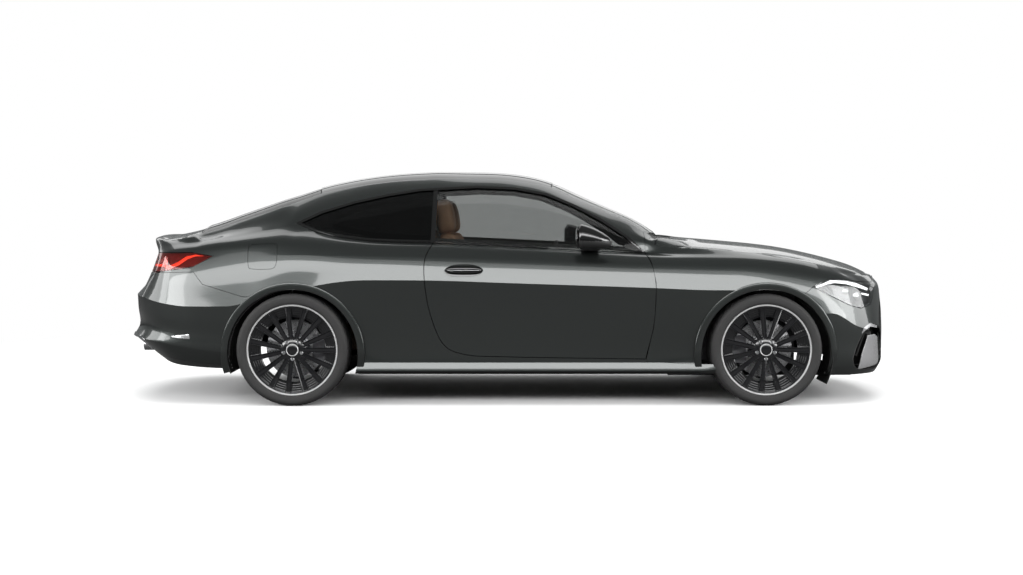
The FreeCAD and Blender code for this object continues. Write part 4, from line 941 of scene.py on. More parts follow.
# %% Wings, doors and body sides
door_line = rounded(DOOR, 4, DOOR_SHARP)
DEEP_WALL = 0.045
for side, sign in SIDES:
    reach_of = outer(0.30, sign)
    wing = slab(side + "_wing_skin", (0.70, 2.5), ("foot", "rail"), WALL, sign=sign)
    cut(wing, keep=[prism(WING_SPLIT, *reach_of)],
        remove=[prism(BONNET_HOLE, *BONNET_HEIGHTS, "z"), prism(grow(NOSE_SPLIT, 0.0025), *reach_of),
                prism(LAMP_HOLE, *reach_of), arch_cutter(FRONT_ARCH, *reach_of)])
    panel(wing, "car_body", paint, ["front_wings"] if sign > 0 else [])
    door = slab(side + "_door_skin", (-0.62, 1.0), ("foot", "top"), DEEP_WALL, sign=sign)
    cut(door, keep=[prism(door_line, *reach_of)],
        remove=[prism(grow(SIDE_GLASS, 0.001), *reach_of), prism(HANDLE, *outer(0.892, sign))])
    panel(door, side + "_door_assembly", paint, [side + "_door"])
    flank = slab(side + "_side_skin", (-2.5, 1.3), ("foot", "middle"), DEEP_WALL, sign=sign)
    inner_plan = [(x, y * sign) for x, y in (
        (-2.6, 0.0), (1.6, 0.0), (1.6, 0.62), (0.86, 0.62), (0.60, 0.555), (0.268, 0.471), (-1.180, 0.469),
        (-1.45, 0.520), (-1.92, 0.580), (-1.92, 0.545), (-2.6, 0.545))]
    holes = [prism(inner_plan, 0.1, 1.6, "z"), prism(grow(door_line, GAP), *reach_of), prism(SIDE_GLASS, *reach_of),
             prism(grow(WING_SPLIT, 0.002), *reach_of), prism(grow(TAIL_SPLIT, 0.0025), *reach_of),
             prism(TAIL_LAMP_HOLE, *reach_of), arch_cutter(REAR_ARCH, *reach_of)]
    if sign < 0:
        holes.append(prism(FUEL_FLAP, *reach_of))
    cut(flank, remove=holes)
    panel(flank, "car_body", paint, [side + "_body_side"])
print("panels cut")

# %% [markdown]
# ## Glass and its trim
#
# The panes lie flush in the body, four millimetres under the skin, so they are cut from
# the same surface as the panels around them. The front windows are lightly tinted, the
# quarter and rear ones are nearly black. A thin black moulding runs round the side
# windows; its lower edge belongs to the door and opens with it.

# %% Panes
SINK = -0.004
PANE = 0.005
SCREEN_PLAN = [(0.293, 0.0), (0.289, 0.25), (0.273, 0.467), (0.600, 0.551), (0.862, 0.616), (0.925, 0.48),
               (0.955, 0.25), (0.965, 0.0)]
REAR_PLAN = [(-1.227, 0.0), (-1.215, 0.25), (-1.185, 0.465), (-1.450, 0.516), (-1.924, 0.576), (-1.925, 0.3),
             (-1.925, 0.0)]
COWL_PLAN = [(0.968, 0.0), (0.958, 0.25), (0.928, 0.482), (0.866, 0.617), (0.885, 0.72), (0.900, 0.726),
             (0.955, 0.590), (1.014, 0.400), (1.044, 0.25), (1.064, 0.0)]
GLASS_HEIGHTS = (0.9, 1.6)
# name, outline, places along the car, lowest line, material, replaced node, slot, thickness, sink
for name, outline, x_range, lowest, look, node, slot, thick, sink in (
        ("windscreen_pane", SCREEN_PLAN, (0.05, 1.10), "top", glass, "windscreen", "glass", PANE, SINK),
        ("rear_window_pane", REAR_PLAN, (-2.10, -1.0), "top", dark_glass, "rear_window", "glass", PANE, SINK),
        ("cowl_cover", COWL_PLAN, (0.75, 1.15), "upper", moulded_black, "cowl_panel", "black_plastic", 0.012, -0.012)):
    plan_patch(name, outline, x_range, lowest, GLASS_HEIGHTS, "car_body", look, [node], thick, sink)
MOULD_OUT = grow(SIDE_GLASS, 0.009)
MOULD_IN = grow(SIDE_GLASS, -0.006)
BELT_ZONE = [(-0.447, 0.94), (-0.447, 1.008), (0.039, 0.984), (0.392, 0.966), (0.812, 0.942), (0.84, 0.90),
             (0.39, 0.90)]
PILLAR = [(-0.478, 0.985), (-0.449, 0.985), (-0.437, 1.326), (-0.466, 1.326)]
WINDOWS = (-1.45, 0.95)
WINDOW_LINES = ("upper", "rail")
for side, sign in SIDES:
    door = side + "_door_assembly"
    # name, outline, material, body, replaced node, sink, thickness, slot
    for name, outline, look, body, stands, sink, thick, slot in (
            ("_door_pane", grow(DOOR_GLASS, -0.004), glass, door, [side + "_door_window"], SINK, PANE, "glass"),
            ("_quarter_pane", grow(QUARTER, -0.003), dark_glass, "car_body",
             ["quarter_windows"] if sign > 0 else [], SINK, PANE, "dark_glass"),
            ("_pillar_cover", PILLAR, gloss_black, "car_body", [], 0.0, 0.02, "gloss_black")):
        patch(side + name, outline, sign, look, WINDOWS, thick, sink, stands=stands, lines=WINDOW_LINES,
              inner=0.35, body=body)
    reach_of = outer(0.35, sign)
    for name, body, keep, drop in (
            ("_door_moulding", door, [MOULD_OUT, BELT_ZONE], [MOULD_IN]),
            ("_side_moulding", "car_body", [MOULD_OUT], [MOULD_IN, grow(BELT_ZONE, 0.003)])):
        piece = slab(side + name, WINDOWS, WINDOW_LINES, 0.012, sign=sign, proud=0.0025)
        cut(piece, keep=[prism(k, *reach_of) for k in keep], remove=[prism(d, *reach_of) for d in drop])
        panel(piece, body, gloss_black, edge=0.001)
print("glass and mouldings in")

# %% [markdown]
# ## Wheels
#
# A cast wheel is a bowl with a pattern cut into its face. The face here has fifteen thin
# blades, each with a hollow between two raised edges, stepped rings between the blades'
# ends, and a bright machined edge. Round parts are spun from a half section, as on a
# lathe, and one blade is shaped from a block and copied round.

# %% Helpers for round things
def lathe(profile, steps=96, closed=True):
    """A ring or a cap spun about Y from (radius, y) points."""
    mesh = bmesh.new()
    verts = [mesh.verts.new((r, y, 0)) for r, y in profile]
    pairs = list(zip(verts, verts[1:] + (verts[:1] if closed else [])))
    edges = [mesh.edges.new(pair) for pair in (pairs if closed else pairs[:len(verts) - 1])]
    bmesh.ops.spin(mesh, geom=verts + edges, cent=(0, 0, 0), axis=(0, 1, 0), angle=2 * math.pi, steps=steps,
                   use_merge=True)
    bmesh.ops.remove_doubles(mesh, verts=mesh.verts, dist=1e-6)
    return outwards(mesh)


def join(*meshes):
    """Several bmeshes in one."""
    whole = bmesh.new()
    for mesh in meshes:
        data = bpy.data.meshes.new("part")
        mesh.to_mesh(data)
        mesh.free()
        whole.from_mesh(data)
        bpy.data.meshes.remove(data)
    return whole


def block(low, high, bevel=0.0, segments=2):
    """A block between two corners, with rounded edges."""
    mesh = bmesh.new()
    bmesh.ops.create_cube(mesh, size=1.0)
    low, high = Vector(low), Vector(high)
    bmesh.ops.scale(mesh, vec=high - low, verts=mesh.verts)
    shift(mesh, (low + high) / 2)
    if bevel:
        bmesh.ops.bevel(mesh, geom=mesh.edges[:], offset=bevel, segments=segments, profile=0.5, affect="EDGES",
                        clamp_overlap=True, material=-1)
    return mesh


def around(mesh, count, start=0.0):
    """Copies of a mesh turned about Y, the first by a start in degrees."""
    copies = [turn(mesh.copy(), start + 360 * i / count, "Y") for i in range(count)]
    mesh.free()
    return join(*copies)


# %% One wheel's pieces, with the outer face towards +Y
# outside radius of the tyre, and how far the middle of a wheel stands from the car's middle
TYRE = 0.339
HALF_TRACK = 0.800
BLADES = 15
TYRE_STEPS = 120
GROOVE = 0.0045
alloy_black = finish("alloy_black", (0.007, 0.007, 0.008), (0.004, 0.004, 0.005), 400.0, 0.14, 0.22, 0.01,
                     Coat_Weight=0.8, Coat_Roughness=0.05)
machined = finish("machined_edge", (0.56, 0.56, 0.56), (0.50, 0.50, 0.50), 600.0, 0.30, 0.40, 0.02, Metallic=0.25)


def rim_face(width):
    """Where the rim's lip and its face stand, from the middle of the wheel."""
    lip = width / 2 - 0.010
    return lip, lip - 0.006


def tyre_mesh(width):
    """A tyre with a bead guard, four grooves round the tread, and short ones across its shoulders."""
    half = width / 2
    side = [(0.2560, half - 0.023), (0.2756, half - 0.023), (0.2756, half - 0.0105), (0.2800, half - 0.0068),
            (0.2830, half - 0.0060), (0.2840, half - 0.0048), (0.2868, half - 0.0042), (0.2880, half - 0.0028),
            (0.3030, half), (0.3120, half - 0.0006), (0.3126, half - 0.0016), (0.3160, half - 0.0020),
            (0.3166, half - 0.0016), (0.3250, half - 0.0055), (0.3310, half - 0.0110), (0.3355, half - 0.0170),
            (0.3375, half - 0.0230)]
    shoulder = half - 0.034
    tread = [(TYRE - 0.0008, shoulder)]
    for y in (half * 0.62, half * 0.22, -half * 0.22, -half * 0.62):
        tread += [(TYRE, y + 0.0045), (TYRE - 0.0065, y + 0.0035), (TYRE - 0.0065, y - 0.0035), (TYRE, y - 0.0045)]
    mesh = lathe(side + tread + [(TYRE - 0.0008, -shoulder)] + [(r, -y) for r, y in reversed(side)], TYRE_STEPS)
    grooves = []
    for face in mesh.faces:
        c = face.calc_center_median()
        step = round((math.atan2(c.z, c.x) / (2 * math.pi) * TYRE_STEPS) - 0.5)
        if math.hypot(c.x, c.z) > 0.334 and abs(c.y) > half * 0.66 and step % 3 == 0:
            grooves.append(face)
    for v in verts_in(bmesh.ops.extrude_face_region(mesh, geom=grooves)["geom"]):
        r = math.hypot(v.co.x, v.co.z)
        v.co.x *= (r - GROOVE) / r
        v.co.z *= (r - GROOVE) / r
    bmesh.ops.delete(mesh, geom=grooves, context="FACES")
    return mesh


def blade_mesh(face_y):
    """One blade along +X: wide at its foot, with a hollow between two thin edges."""
    mesh = bmesh.new()
    bmesh.ops.create_grid(mesh, x_segments=10, y_segments=6, size=1.0)
    for v in mesh.verts:
        u = (v.co.x + 1) / 2
        side = v.co.y
        r = 0.030 + u * (0.2625 - 0.030)
        wide = 0.0135 + 0.0050 * u ** 2
        dish = 0.018 * (1 - u) ** 1.6 + 0.003 * u
        column = round(abs(side) * 3)
        lip = (0.0050, 0.0050, 0.0004, 0.0)[column]
        across = (0.0, wide - 0.0075, wide - 0.0032, wide)[column]
        v.co = Vector((r, face_y - dish - lip, math.copysign(across, side)))
    outwards(mesh)
    if sum(f.normal.y for f in mesh.faces) < 0:
        bmesh.ops.reverse_faces(mesh, faces=mesh.faces)
    rim_edges = [e for e in mesh.edges if len(e.link_faces) == 1]
    for v in verts_in(bmesh.ops.extrude_edge_only(mesh, edges=rim_edges)["geom"]):
        v.co.y -= 0.030
        v.co.z *= 0.72
    bmesh.ops.holes_fill(mesh, edges=[e for e in mesh.edges if len(e.link_faces) == 1])
    return outwards(mesh)


def wheel_face(width):
    """Blades, hub, stepped rings and barrel of the wheel."""
    lip, face = rim_face(width)
    back = -(width / 2 - 0.012)
    blades = around(blade_mesh(face), BLADES)
    steps = []
    for i in range(5):
        r = 0.200 + 0.013 * i
        y = face - 0.034 + 0.0045 * i
        steps += [(r, y), (r + 0.0085, y), (r + 0.0105, y + 0.0035)]
    steps += [(0.2640, face - 0.008), (0.2640, face - 0.055), (0.1970, face - 0.055), (0.1970, face - 0.036)]
    hub = lathe([(0.0, face - 0.010), (0.040, face - 0.010), (0.052, face - 0.012), (0.074, face - 0.019),
                 (0.080, face - 0.024), (0.080, face - 0.060), (0.0, face - 0.060)], 60, closed=False)
    barrel = lathe([(0.2430, back), (0.2735, back), (0.2735, back + 0.010), (0.2550, back + 0.011),
                    (0.2550, lip - 0.012), (0.2640, lip - 0.010), (0.2640, lip - 0.045), (0.2450, lip - 0.055)], 96)
    return join(blades, lathe(steps, 90), hub, barrel)


def wheel_bright(width):
    """The bright edge of the rim and the thin ring round the centre cap."""
    lip, face = rim_face(width)
    edge = lathe([(0.2655, lip - 0.0035), (0.2680, lip - 0.0008), (0.2725, lip), (0.2750, lip - 0.002),
                  (0.2750, lip - 0.0115), (0.2655, lip - 0.0115)], 120)
    cap_ring = lathe([(0.0322, face - 0.0080), (0.0322, face - 0.0018), (0.0345, face - 0.0006),
                      (0.0372, face - 0.0026), (0.0380, face - 0.0080)], 60)
    return join(edge, cap_ring)


def wheel_cap(width):
    """The plain cap over the middle."""
    face = rim_face(width)[1]
    return lathe([(0.0, face - 0.0010), (0.020, face - 0.0014), (0.033, face - 0.0030), (0.0365, face - 0.0050),
                  (0.0375, face - 0.0085), (0.0375, face - 0.014), (0.0, face - 0.014)], 60, closed=False)


def wheel_bolts(width):
    """Five bolts round the middle."""
    bolt = lathe([(0.0, 0.0), (0.0050, 0.0), (0.0058, 0.0008), (0.0062, 0.0030), (0.0085, 0.0030), (0.0115, 0.0005),
                  (0.0118, -0.006), (0.0, -0.006)], 12, closed=False)
    return around(shift(bolt, (0.056, rim_face(width)[1] - 0.0105, 0)), 5, 18.0)


def disc_mesh():
    """Brake disc: two cheeks with a groove between them at the rim, and the bell."""
    plate = lathe([(0.095, -0.002), (0.174, -0.002), (0.175, -0.003), (0.175, -0.009), (0.171, -0.010), (0.171, -0.019),
                   (0.175, -0.020), (0.175, -0.026), (0.174, -0.027), (0.095, -0.027)], 96)
    bell = lathe([(0.0, 0.030), (0.070, 0.030), (0.080, 0.027), (0.086, 0.018), (0.090, 0.0), (0.096, -0.004),
                  (0.096, -0.026), (0.0, -0.026)], 60, closed=False)
    return join(plate, bell)


def caliper_mesh(ahead):
    """A fixed caliper: a bridge over the disc with two raised pistons."""
    x = 0.158 * ahead
    body = block((x - 0.034, -0.050, -0.095), (x + 0.034, 0.016, 0.095), 0.013, 3)
    pistons = []
    for z in (-0.044, 0.044):
        piston = lathe([(0.0, 0.0215), (0.019, 0.0215), (0.022, 0.019), (0.022, 0.0), (0.0, 0.0)], 28, closed=False)
        pistons.append(shift(piston, (x, 0, z)))
    return join(body, *pistons)


def fit_wheel(mesh, name, material, body, x, sign, stands=()):
    """Puts a wheel piece at its axle, turned so that its face looks out."""
    bmesh.ops.scale(mesh, vec=(1, sign, 1), verts=mesh.verts)
    if sign < 0:
        bmesh.ops.reverse_faces(mesh, faces=mesh.faces)
    drop_in(shift(mesh, (x, sign * HALF_TRACK, TYRE)), name, material, body, stands, 30.0)


# %% Four wheels
for end, x, width in (("front", 1.560, 0.245), ("rear", -1.305, 0.275)):
    for side, sign in SIDES:
        tag = "%s_%s" % (end, side)
        body = tag + "_wheel"
        fit_wheel(tyre_mesh(width), tag + "_tread_tyre", rubber, body, x, sign, [tag + "_tyre"])
        fit_wheel(wheel_face(width), tag + "_bladed_rim", alloy_black, body, x, sign, [tag + "_rim"])
        fit_wheel(wheel_bright(width), tag + "_bright_edge", machined, body, x, sign)
        fit_wheel(wheel_cap(width), tag + "_centre_cap", alloy_black, body, x, sign)
        fit_wheel(wheel_bolts(width), tag + "_bolts", steel, body, x, sign)
        fit_wheel(disc_mesh(), tag + "_disc", steel, body, x, sign)
        fit_wheel(caliper_mesh(-1 if end == "front" else 1), tag + "_caliper", silver,
                  tag + "_carrier" if end == "front" else "car_body", x, sign)
print("wheels on")

# %% [markdown]
# ## Lamps, grille and intakes
#
# Each of these fills a hole in the skin, so each is cut from the skin as well, sunk by
# its own depth. `patch` does that in one call.

# %% Finishes of the lamps, and the line of the nose
lamp_white = finish("lamp_light", (0.95, 0.95, 0.95), (0.85, 0.86, 0.88), 90.0, 0.20, 0.30, 0.0,
                    Emission_Color=(1, 1, 1, 1), Emission_Strength=0.9)
lamp_red = finish("tail_light", (0.80, 0.06, 0.03), (0.60, 0.03, 0.02), 90.0, 0.20, 0.30, 0.0,
                  Emission_Color=(1.0, 0.16, 0.07, 1), Emission_Strength=0.9)
smoke = finish("lamp_housing", (0.040, 0.042, 0.044), (0.022, 0.023, 0.024), 120.0, 0.25, 0.40, 0.0, Metallic=0.2)
red_body = finish("tail_housing", (0.130, 0.030, 0.026), (0.085, 0.022, 0.020), 60.0, 0.25, 0.40, 0.0)


def nose_x(y):
    """Where the outline stands at a half width, near the nose."""
    front = dense[dense[:, 0] > 1.9]
    return float(np.interp(abs(y), front[:, 1], front[:, 0]))


# %% Headlamps
NOSE = (1.75, 2.5)
DAY_LIGHT = [(1.851, 0.7225), (1.900, 0.742), (1.958, 0.7585), (2.060, 0.7515), (2.150, 0.733), (2.235, 0.700),
             (2.228, 0.686), (2.150, 0.710), (2.060, 0.733), (1.985, 0.741), (1.930, 0.733), (1.890, 0.720),
             (1.862, 0.7150)]
PROJECTOR_TURN = -58.0
LOW_LIGHT = [(2.178, 0.676), (2.240, 0.664), (2.236, 0.652), (2.180, 0.664)]
for side, sign in SIDES:
    tag = side + "_headlamp_"
    patch(tag + "lens", rounded(grow(LAMP, -0.0022), 3), sign, lens, NOSE, 0.003, -0.001,
          stands=["headlamps"] if sign > 0 else [])
    patch(tag + "wall", grow(LAMP, -0.0005), sign, smoke, NOSE, 0.040, -0.006,
          drop=[grow(LAMP, -0.0055)])
    patch(tag + "bowl", grow(LAMP, -0.0010), sign, smoke, NOSE, 0.008, -0.040)
    patch(tag + "day_light", DAY_LIGHT, sign, lamp_white, NOSE, 0.006, -0.009, 0.001)
    patch(tag + "low_light", LOW_LIGHT, sign, lamp_white, NOSE, 0.006, -0.012, 0.001)
    for k, (x, y, z, size) in enumerate(((2.150, 0.735, 0.652, 0.027), (2.075, 0.778, 0.684, 0.022))):
        barrel = turn(lathe([(0.0, 0.010), (size * 0.45, 0.0085), (size * 0.8, 0.003), (size * 0.86, 0.0),
                             (size * 0.90, 0.004), (size, 0.004), (size * 1.05, 0.0), (size * 1.05, -0.022),
                             (0.0, -0.022)], 40, closed=False), PROJECTOR_TURN, "Z")
        bmesh.ops.scale(barrel, vec=(1, sign, 1), verts=barrel.verts)
        shift(barrel, (x, (y - 0.012) * sign, z))
        drop_in(outwards(barrel), tag + "projector_%d" % k, chrome)
print("headlamps in")

# %% Grille: a frame, a back and upright bars
patch("grille_frame", grow(GRILLE, -0.001), 0, chrome, FACE, 0.030, 0.0015, 0.0015,
      drop=[grow(GRILLE, -0.013)])
patch("grille_back", grow(GRILLE, -0.004), 0, gloss_black, FACE, 0.004, -0.046)
BAR_PITCH = 0.0225
BAR_HALF = 0.0028
bars = []
for k in range(-19, 20):
    y = BAR_PITCH * k
    # near the corners the foot climbs and the top falls with the frame
    foot = 0.445 + max(0.0, abs(y) - 0.352) / 0.102 * 0.18
    top = 0.682 - max(0, abs(y) - 0.415) * 1.2
    x = nose_x(y) - 0.030
    bars.append(block((x - 0.018, y - BAR_HALF, foot), (x, y + BAR_HALF, top), 0.0016, 1))
drop_in(join(*bars), "grille_bars", chrome, stands=["grille"])
crossbar = []
for sign in (-1, 1):
    wing = block((-0.012, 0.045, 0.560), (0.006, 0.425, 0.584), 0.004, 2)
    for v in wing.verts:
        v.co.x += nose_x(v.co.y) - 0.024
        v.co.y *= sign
    crossbar.append(outwards(wing))
disc = lathe([(0.0, 0.004), (0.040, 0.003), (0.054, 0.0), (0.058, -0.004), (0.058, -0.026), (0.0, -0.026)], 48,
             closed=False)
crossbar.append(shift(turn(disc, -90, "Z"), (nose_x(0) - 0.012, 0, 0.572)))
drop_in(join(*crossbar), "grille_crossbar", gloss_black)
print("grille in")

# %% Intakes below
patch("low_intake_back", grow(LOW_INTAKE, 0.004), 0, gloss_black, FACE, 0.004, -0.050)
patch("low_intake_frame", grow(LOW_INTAKE, -0.001), 0, moulded_black, FACE, 0.045, -0.002,
      0.001, drop=[grow(LOW_INTAKE, -0.010)])
slats = []
for z in (0.268, 0.300, 0.332):
    slat = block((-0.022, -0.430, z - 0.004), (0.0, 0.430, z + 0.004), 0.003, 1)
    long_edges = [e for e in slat.edges if abs(e.verts[0].co.y - e.verts[1].co.y) > 0.5]
    bmesh.ops.subdivide_edges(slat, edges=long_edges, cuts=14)
    for v in slat.verts:
        v.co.x += nose_x(v.co.y) - 0.022
    slats.append(slat)
drop_in(join(*slats), "low_intake_slats", moulded_black)
FIN = [(2.118, 0.300), (2.176, 0.440), (2.190, 0.440), (2.130, 0.292)]
BLADE = [(2.206, 0.416), (2.262, 0.420), (2.292, 0.400), (2.310, 0.245), (2.290, 0.228), (2.140, 0.211), (2.162, 0.301)]
FLICK = [(2.156, 0.431), (2.176, 0.470), (2.226, 0.492), (2.286, 0.470), (2.284, 0.458), (2.226, 0.470), (2.186, 0.450)]
for side, sign in SIDES:
    tag = side + "_corner_"
    patch(tag + "intake_back", grow(CORNER_INTAKE, 0.004), sign, gloss_black, NOSE, 0.004, -0.045,
          inner=0.46)
    patch(tag + "intake_wall", grow(CORNER_INTAKE, -0.0005), sign, moulded_black, NOSE, 0.042,
          -0.002, drop=[grow(CORNER_INTAKE, -0.006)], inner=0.46)
    patch(tag + "blade", BLADE, sign, silver, NOSE, 0.010, -0.004, 0.0015, inner=0.50)
    patch(tag + "flick", FLICK, sign, silver, NOSE, 0.012, 0.001, 0.0015, inner=0.50)
    patch(tag + "intake_fin", FIN, sign, gloss_black, NOSE, 0.020, -0.014, 0.001, inner=0.50)
print("intakes in")

# %% [markdown]
# At the tail the lamps reach from the lid's edge forward to a tip on the flank. A
# light pipe runs through each. Below sit the reflectors and the exhaust trims.

# %% Tail lamps, reflectors and exhaust trims
TAIL = (-2.5, -1.70)
PIPE = [(-2.116, 0.8565), (-2.096, 0.831), (-2.070, 0.824), (-2.006, 0.8495), (-1.954, 0.8854), (-1.907, 0.9028),
        (-1.853, 0.9040), (-1.907, 0.9125), (-1.965, 0.9005), (-2.0175, 0.8657), (-2.070, 0.8425), (-2.093, 0.8472),
        (-2.108, 0.868)]
OVAL = rounded([(-2.148, 0.862), (-2.128, 0.892), (-2.100, 0.900), (-2.082, 0.882), (-2.086, 0.856),
                (-2.110, 0.842)], 3)
REFLECTOR = [(-2.052, 0.418), (-1.936, 0.432), (-1.932, 0.404), (-2.040, 0.410)]
REAR_PIPE = [(0.560, 0.838), (0.560, 0.852), (0.800, 0.852), (0.800, 0.838)]
TRIM = [(0.360, 0.330), (0.345, 0.395), (0.380, 0.412), (0.690, 0.412), (0.715, 0.385), (0.690, 0.330),
        (0.660, 0.318), (0.390, 0.318)]
BACK = (-2.6, -1.9)
for side, sign in SIDES:
    tag = side + "_tail_lamp_"
    patch(tag + "lens", rounded(grow(TAIL_LAMP, -0.0025), 3, (2, 3)), sign, red_lens, TAIL, 0.003,
          -0.001, stands=["tail_lamps"] if sign > 0 else [], inner=0.545)
    patch(tag + "rear_pipe", [(y * sign, z) for y, z in REAR_PIPE], 0, lamp_red, (-2.6, -2.10), 0.008,
          -0.0075, 0.001)
    patch(tag + "bowl", grow(TAIL_LAMP, -0.001), sign, red_body, TAIL, 0.020, -0.018, inner=0.545)
    patch(tag + "pipe", PIPE, sign, lamp_red, TAIL, 0.008, -0.0075, 0.001, inner=0.545)
    patch(tag + "reverse", OVAL, sign, silver, TAIL, 0.008, -0.0075, 0.001, inner=0.545)
    patch(side + "_reflector", REFLECTOR, sign, silver, TAIL, 0.010, 0.0015, 0.001, inner=0.5)
    trim = [(y * sign, z) for y, z in TRIM]
    patch(side + "_exhaust_trim", trim, 0, chrome, BACK, 0.030, 0.006, 0.003, drop=[grow(trim, -0.014)])
    patch(side + "_exhaust_outlet", grow(trim, -0.013), 0, gloss_black, BACK, 0.006, -0.004)
print("tail in")

# %% [markdown]
# ## Trim on the flanks
#
# The wheel arches end in a flat upright ring that stands just proud of the body side.
# The lip behind it runs inwards to the wheel house; the front one stands further out, since
# the tyre's shoulder swings past it at full steer.

# %% Arch rings and the lips behind them
flank_line = np.array(sorted((float(x), float(y)) for x, y in dense[::12] if y > 0.3))


def half_width(x):
    """Half width of the body at a place along the car."""
    return float(np.interp(x, flank_line[:, 0], flank_line[:, 1]))


# distance beyond the opening and depth below the flat face, from the inner edge to the outer one
RING_SECTION = ((0.000, 0.026), (0.000, 0.004), (0.0012, 0.0012), (0.004, 0.0), (0.036, 0.0), (0.0395, 0.0010),
                (0.042, 0.004), (0.0435, 0.020))
# a ring's first angle and how far it runs; radius, first and last angle of the lip at each end
RING_START, RING_RUN = -15.5, 211
LIPS = {"front": (0.412, -26, 196), "rear": (0.398, -15, 197)}
for side, sign in SIDES:
    for (x, z), end in zip((FRONT_ARCH, REAR_ARCH), ENDS):
        tag = "%s_%s_arch_" % (end, side)
        mesh = bmesh.new()
        bmesh.ops.create_grid(mesh, x_segments=110, y_segments=len(RING_SECTION) - 1, size=1.0)
        for v in mesh.verts:
            beyond, depth = RING_SECTION[round((v.co.y + 1) / 2 * (len(RING_SECTION) - 1))]
            a = math.radians(RING_START + (v.co.x + 1) / 2 * RING_RUN)
            px, pz = x + (ARCH_RADIUS + beyond) * math.cos(a), z + (ARCH_RADIUS + beyond) * math.sin(a)
            tuck = 0.030 * min(1.0, max(0.0, (0.330 - pz) / 0.14)) ** 1.3
            v.co = Vector((px, (half_width(px) + 0.0012 - depth - tuck) * sign, pz))
        if sum(f.normal.y * sign for f in outwards(mesh).faces) < 0:
            bmesh.ops.reverse_faces(mesh, faces=mesh.faces)
        bmesh.ops.solidify(mesh, geom=mesh.faces[:], thickness=0.002)
        drop_in(outwards(mesh), tag + "ring", paint, smooth=30.0)
        radius, first, last = LIPS[end][0], *(math.radians(a) for a in LIPS[end][1:])
        lip = bmesh.new()
        start = lip.verts.new((x + radius * math.cos(first), 0.600 * sign, z + radius * math.sin(first)))
        stop = lip.verts.new((start.co.x, (half_width(x) - 0.030) * sign, start.co.z))
        between = lip.edges.new((start, stop))
        bmesh.ops.spin(lip, geom=[start, stop, between], cent=(x, 0, z), axis=(0, 1, 0), angle=first - last, steps=60)
        bmesh.ops.solidify(outwards(lip), geom=lip.faces[:], thickness=0.003)
        drop_in(outwards(lip), tag + "lip", moulded_black)
print("arch rings on")

# %% Door handles, fuel flap, mirrors
def ball(shape, subdivisions=5):
    """A ball whose points are moved by a function of their place on it."""
    mesh = bmesh.new()
    bmesh.ops.create_icosphere(mesh, subdivisions=subdivisions, radius=1.0)
    for v in mesh.verts:
        v.co = Vector(shape(*v.co))
    return outwards(mesh)


def fuller(value, power):
    """A place on a ball pushed outwards along one axis; a power below 1 squares the ball."""
    return math.copysign(abs(value) ** power, value)


CABIN = (-0.70, 1.0)
MIRROR = (0.437, 0.925, 1.012)
# a thin gloss black strip along the sill's lower edge: painted shade where the sill turns under
SILL_SHADE_STRIP = [(-0.91, 0.187), (-0.91, 0.204), (1.16, 0.200), (1.16, 0.187)]


def grip_shape(size, reach, sign):
    """The shape of a grip of that size, lying on the door."""
    def shape(a, b, c):
        a, b, c = (fuller(u, 0.75) for u in (a, b, c))
        return (-0.269 + size[0] / 2 * a, (reach + size[1] / 2 * b) * sign, 0.820 + size[2] / 2 * c)
    return shape


def housing_shape(sign):
    """The shape of a mirror housing: drawn out ahead and flattened behind."""
    def shape(a, b, c):
        forward = 0.185 if a > 0 else 0.030
        fall = 0.030 * max(a, 0) ** 1.4
        up = (0.088 if c > 0 else 0.062) * fuller(c, 0.82)
        return (MIRROR[0] + forward * a, (MIRROR[1] + 0.090 * fuller(b, 0.80)) * sign,
                MIRROR[2] + up * (1 - 0.25 * max(a, 0)) - fall)
    return shape


def glass_shape(sign):
    """The shape of a mirror's glass, flat in the housing's back."""
    def shape(a, b, c):
        return (0.4095 + 0.0035 * a, (MIRROR[1] + 0.080 * fuller(b, 0.7)) * sign, 1.014 + 0.060 * fuller(c, 0.75))
    return shape


for side, sign in SIDES:
    door = side + "_door_assembly"
    drop_in(ball(grip_shape((0.216, 0.016, 0.040), 0.9105, sign)), side + "_handle", gloss_black, door)
    drop_in(ball(grip_shape((0.205, 0.004, 0.0045), 0.9180, sign)), side + "_handle_line", chrome, door)
    # a gloss black plate at the bottom of the handle's pocket: painted shade inside the pocket
    patch(side + "_handle_pocket_shade", grow(HANDLE, -0.0005), sign, gloss_black, CABIN, 0.003, -0.0250,
          body=door)
    # painted shade: the gloss black strip darkens the sill's down-facing lower edge
    patch(side + "_sill_shade_strip", SILL_SHADE_STRIP, sign, gloss_black, (-1.0, 1.3), 0.012, 0.0020, 0.0015,
          inner=0.6)
    housing = drop_in(ball(housing_shape(sign)), side + "_mirror_housing", gloss_black, door,
                      [side + "_mirror"])
    housing.data.materials.append(moulded_black)
    for face in housing.data.polygons:
        face.material_index = 1 if face.center.z < 0.998 else 0
    drop_in(ball(glass_shape(sign), 4), side + "_mirror_glass", chrome, door)
    foot = block((0.450, 0.735, 0.925), (0.560, 0.905, 0.958), 0.012, 3)
    for v in foot.verts:
        rise = (abs(v.co.y) - 0.735) / 0.17
        v.co.z += 0.018 * rise
        v.co.x += -0.012 * (1 - rise)
        v.co.y *= sign
    drop_in(outwards(foot), side + "_mirror_foot", moulded_black, door)
patch("fuel_flap", grow(FUEL_FLAP, -0.0022), -1, paint, (-1.8, -1.2), 0.020, 0.0, 0.001)
print("handles, mirrors and flap on")

# %% [markdown]
# ## Cabin
#
# The seats are foam under leather. Each pad starts as a rounded block a little smaller
# than it should be, with the seams pressed in. Then a cloth simulation blows it up from
# inside, and no point may move further than the cap. That gives the crowned, slightly
# uneven look that a stretched cover has.

# %% A rounded block, placed and leaning
leather_dark = finish("dark_leather", (0.105, 0.066, 0.044), (0.070, 0.045, 0.030), 260.0, 0.46, 0.60, 0.5)
screen_black = finish("screen", (0.006, 0.006, 0.007), (0.004, 0.004, 0.005), 200.0, 0.06, 0.10, 0.0)


